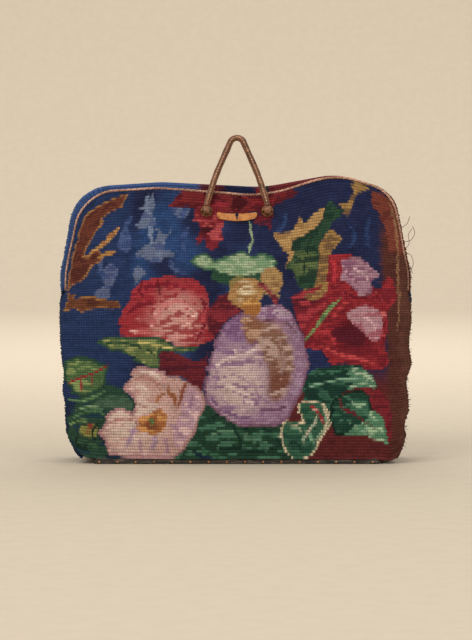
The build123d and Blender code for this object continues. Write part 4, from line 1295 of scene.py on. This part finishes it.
def inWorld(flat, forward=0.0):
    # from the handle's own plane, with forward measured out of its front face
    lean = math.radians(handle["lean"])
    _, y, z = handle["bar"]
    flat = np.atleast_2d(flat)
    return np.column_stack([flat[:, 0], y + flat[:, 1] * math.sin(lean) - forward * math.cos(lean),
                            z + flat[:, 1] * math.cos(lean) + forward * math.sin(lean)])


def sweptHandle(flat):
    # a rolled strip: round, with a raised ridge of stitching on the face and a groove at either side of it, whose
    # faces get a darker leather as painted shade
    side = leftOf(flat)
    run = runAlong(flat)
    ends = np.minimum(run, run[-1] - run)
    sides = handle["sides"]
    angles = 2 * math.pi * np.arange(sides) / sides  # 0 is the front of the handle
    fromFront = np.abs((angles + math.pi) % (2 * math.pi) - math.pi)
    fromGroove = (fromFront - handle["grooveAngle"]) / handle["grooveWidth"]
    groove = -handle["grooveDepth"] * np.exp(-(fromGroove**2))
    ridge = handle["ridgeHeight"] * np.exp(-((fromFront / handle["ridgeWidth"]) ** 2))
    lumps = wander(run, handle["lumps"])
    narrow = 1 - handle["endsNarrower"] * ramp(14, 3, ends)
    points = []
    for i in range(len(flat)):
        radius = (handle["radius"] - handle["coreInset"] + groove + ridge + lumps[i]) * narrow[i]
        width = radius * np.sin(angles)
        points.append(inWorld(flat[i] + side[i] * width[:, None], radius * np.cos(angles)))
    faces = gridFaces(len(flat), sides, wrap=True)
    # painted shade: the faces in each groove take the darker leather
    isGroove = np.abs(0.5 * (fromFront + np.roll(fromFront, -1)) - handle["grooveAngle"]) < 0.17
    slots = np.tile(np.where(isGroove, 1, 0), len(flat) - 1)
    return np.concatenate(points), faces + endFaces(len(flat), sides), np.concatenate([slots, [0, 0]])


def buildHandle():
    flat = handlePath()
    flat = flat[flat[:, 1] > handle["rollStart"]]
    roll, rollFaces, rollSlots = sweptHandle(flat)
    parts, slots = [(roll, rollFaces)], [rollSlots]
    for side in (-1, 1):
        # a leather eye round each bar
        count = handle["eyeSides"]
        points = []
        for width, radius in handle["eye"]:
            for k in range(count):
                angle = 2 * math.pi * k / count
                flatPoint = (side * handle["bar"][0] + width, radius * math.sin(angle))
                points.append(inWorld(flatPoint, radius * math.cos(angle))[0])
        faces = gridFaces(len(handle["eye"]), count, wrap=True)
        last = (len(handle["eye"]) - 1) * count
        faces += [(last + k, last + (k + 1) % count, (k + 1) % count, k) for k in range(count)]
        parts.append((points, faces))
        slots.append(np.zeros(len(faces), int))
    walk = spaced(flat, handle["stitchPitch"])
    for a, b in zip(walk[2:-2], walk[3:-1]):
        start, end = a + (b - a) * 0.18, a + (b - a) * 0.8
        line = [start, start + (end - start) * 0.3, start + (end - start) * 0.7, end]
        heights = [handle["radius"] + height for height in handle["stitchHeights"]]
        points = np.concatenate([inWorld(place, height) for place, height in zip(line, heights)])
        thread = tube(points, handle["stitchRadii"], 6)
        parts.append(thread)
        slots.append(np.full(len(thread[1]), 2))
    points, faces, _ = joined(parts)
    materials = [made["handleLeather"], made["grooveShadeLeather"], made["stitchThread"]]
    return makePiece("leatherHandle", points, faces, materials, slots=np.concatenate(slots))


leatherHandle = buildHandle()
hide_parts("handle")
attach(leatherHandle, "handle")
print("handle done")

# loose threads at the worn right edge
fray = {
    "looseThreads": [
        [(243, 300), (250, 296), (253, 284), (249, 272), (252, 262)],
        [(240, 316), (249, 318), (255, 328), (252, 338)],
        [(242, 306), (247, 314), (246, 326), (251, 334)],
        [(236, 336), (244, 342), (248, 352)],
        [(243, 282), (249, 280), (252, 270)],
    ],
    "looseRadius": 0.4,
    "shortThreads": 90,
    "shortRadius": 0.3,
    "shortReach": (1.5, 4.5),
    "seed": 1860,
}


def buildFray():
    draw = np.random.default_rng(fray["seed"])
    parts = []
    for line in fray["looseThreads"]:
        flat = smoothLoop(line, 6, closed=False)
        drift = np.linspace(0, 1, len(flat))
        depth = -11 - 4 * drift * np.sin(5 * drift)
        parts.append(tube(np.column_stack([flat[:, 0], depth, flat[:, 1]]), fray["looseRadius"], 5))
    line = spaced(np.vstack([frontOutline["right"], frontOutline["mouth"][::-1][:16]]), 1.0)
    for _ in range(fray["shortThreads"]):
        i = draw.integers(2, len(line) - 2)
        x, z = line[i]
        reach, bend = draw.uniform(*fray["shortReach"]), draw.uniform(-3, 3)
        depth = -float(sideDepthAt(z)) - draw.uniform(-3, 1)
        path = [(x - 2, depth, z), (x + 0.4 * reach, depth, z + 0.3 * bend), (x + reach, depth - 1, z + bend)]
        parts.append(tube(smoothLoop(path, 3, closed=False), fray["shortRadius"], 4))
    points, faces, _ = joined(parts)
    return makePiece("edgeThreads", points, faces, [made["frayThread"]])


edgeThreads = buildFray()
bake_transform(edgeThreads)
print("fray done")

# the iron, steel and brass parts keep their shapes and get a finish
metalFinish = {
    "lock_plate": "agedBrass",
    "lock_plate_pins": "agedBrass",
    "handle_mount_left": "darkBrass",
    "handle_mount_right": "darkBrass",
    "mount_backplate_left": "agedBrass",
    "mount_backplate_right": "agedBrass",
    "back_frame": "japannedIron",
    "front_frame": "japannedIron",
    "lock_case": "japannedIron",
    "lock_staple": "boltSteel",
    "lock_bolt": "boltSteel",
    "hinge_pin_left": "boltSteel",
    "hinge_pin_right": "boltSteel",
}
for node, finish in metalFinish.items():
    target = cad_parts[node]
    if not target.data.materials:
        target.data.materials.append(None)
    for slot in target.material_slots:
        slot.material = made[finish]
print("metal parts finished")

# floor, lights and camera, in metres
setting = {
    "paper": "c0b4a1",
    "paperShade": "bdb19e",
    "surroundColour": (1.0, 0.985, 0.95, 1),
    "surroundStrength": 0.98,
    "cameraHeight": 3.0,  # degrees above level
    "lens": 135.0,
    "sensor": 36.0,
    "frameHeight": 0.912,  # seen at the bag's front, top to bottom
    "aim": (-0.00135, -0.040, 0.205),
}
bagMiddle = (0, 0, 0.2)
lights = {
    "keyLight": dict(place=(-1.7, -2.6, 2.9), size=2.2, power=62, colour=(1.0, 0.97, 0.92), aim=bagMiddle),
    "fillLight": dict(place=(1.8, -1.8, 1.2), size=2.0, power=12, colour=(0.97, 0.98, 1.0), aim=bagMiddle),
    "backLight": dict(place=(0.3, 1.8, 2.4), size=1.6, power=14, colour=(1.0, 0.98, 0.95), aim=bagMiddle),
    "backdropLight": dict(place=(0, 2.2, 3.2), size=2.6, power=98, colour=(1.0, 0.98, 0.97), aim=(0, 5.6, 0.6)),
}


def buildFloor():
    # a wide round floor that curves up into a wall far outside every view
    flat, bend = 4500, 2000
    profile = [(0, 0), (1500, 0), (3000, 0), (flat, 0)]
    profile += [(flat + bend * math.sin(a), bend - bend * math.cos(a)) for a in np.linspace(0.08, math.pi / 2, 12)]
    count = 72
    points = []
    for radius, height in profile:
        for k in range(count):
            turn = 2 * math.pi * k / count
            points.append((radius * math.cos(turn), radius * math.sin(turn), height))
    material, tree, shader = newMaterial("paleFloor", 0.95, specular=0.1)
    tint = rangeNode(tree, noiseNode(tree, 40.0, 3.0), 0.3, 0.7)
    tree.links.new(blendColours(tree, tint, setting["paper"], setting["paperShade"]), shader.inputs["Base Color"])
    faces = gridFaces(len(profile), count, wrap=True)
    floor = makePiece("floor", points, faces, [material])


def addAreaLight(name, place, size, power, colour, aim):
    light = bpy.data.lights.new(name, "AREA")
    light.energy, light.size, light.color = power, size, colour
    lamp = bpy.data.objects.new(name, light)
    lamp.location = place
    lamp.rotation_euler = (Vector(aim) - Vector(place)).to_track_quat("-Z", "Y").to_euler()
    bpy.context.scene.collection.objects.link(lamp)


buildFloor()
for name, look in lights.items():
    addAreaLight(name, **look)
world = bpy.data.worlds.new("studio")
world.use_nodes = True
surround = world.node_tree.nodes["Background"]
surround.inputs["Color"].default_value = setting["surroundColour"]
surround.inputs["Strength"].default_value = setting["surroundStrength"]
bpy.context.scene.world = world
bpy.context.scene.view_settings.view_transform = "Standard"

cameraData = bpy.data.cameras.new("camera")
cameraData.lens = setting["lens"]
cameraData.sensor_width = setting["sensor"]
camera = bpy.data.objects.new("camera", cameraData)
distance = setting["frameHeight"] / setting["sensor"] * setting["lens"]
angle = math.radians(setting["cameraHeight"])
aimX, aimY, aimZ = setting["aim"]
camera.location = (aimX, aimY - distance * math.cos(angle), aimZ + distance * math.sin(angle))
camera.rotation_euler = (math.pi / 2 - angle, 0, 0)
bpy.context.scene.collection.objects.link(camera)
bpy.context.scene.camera = camera
print("floor, lights and camera placed")
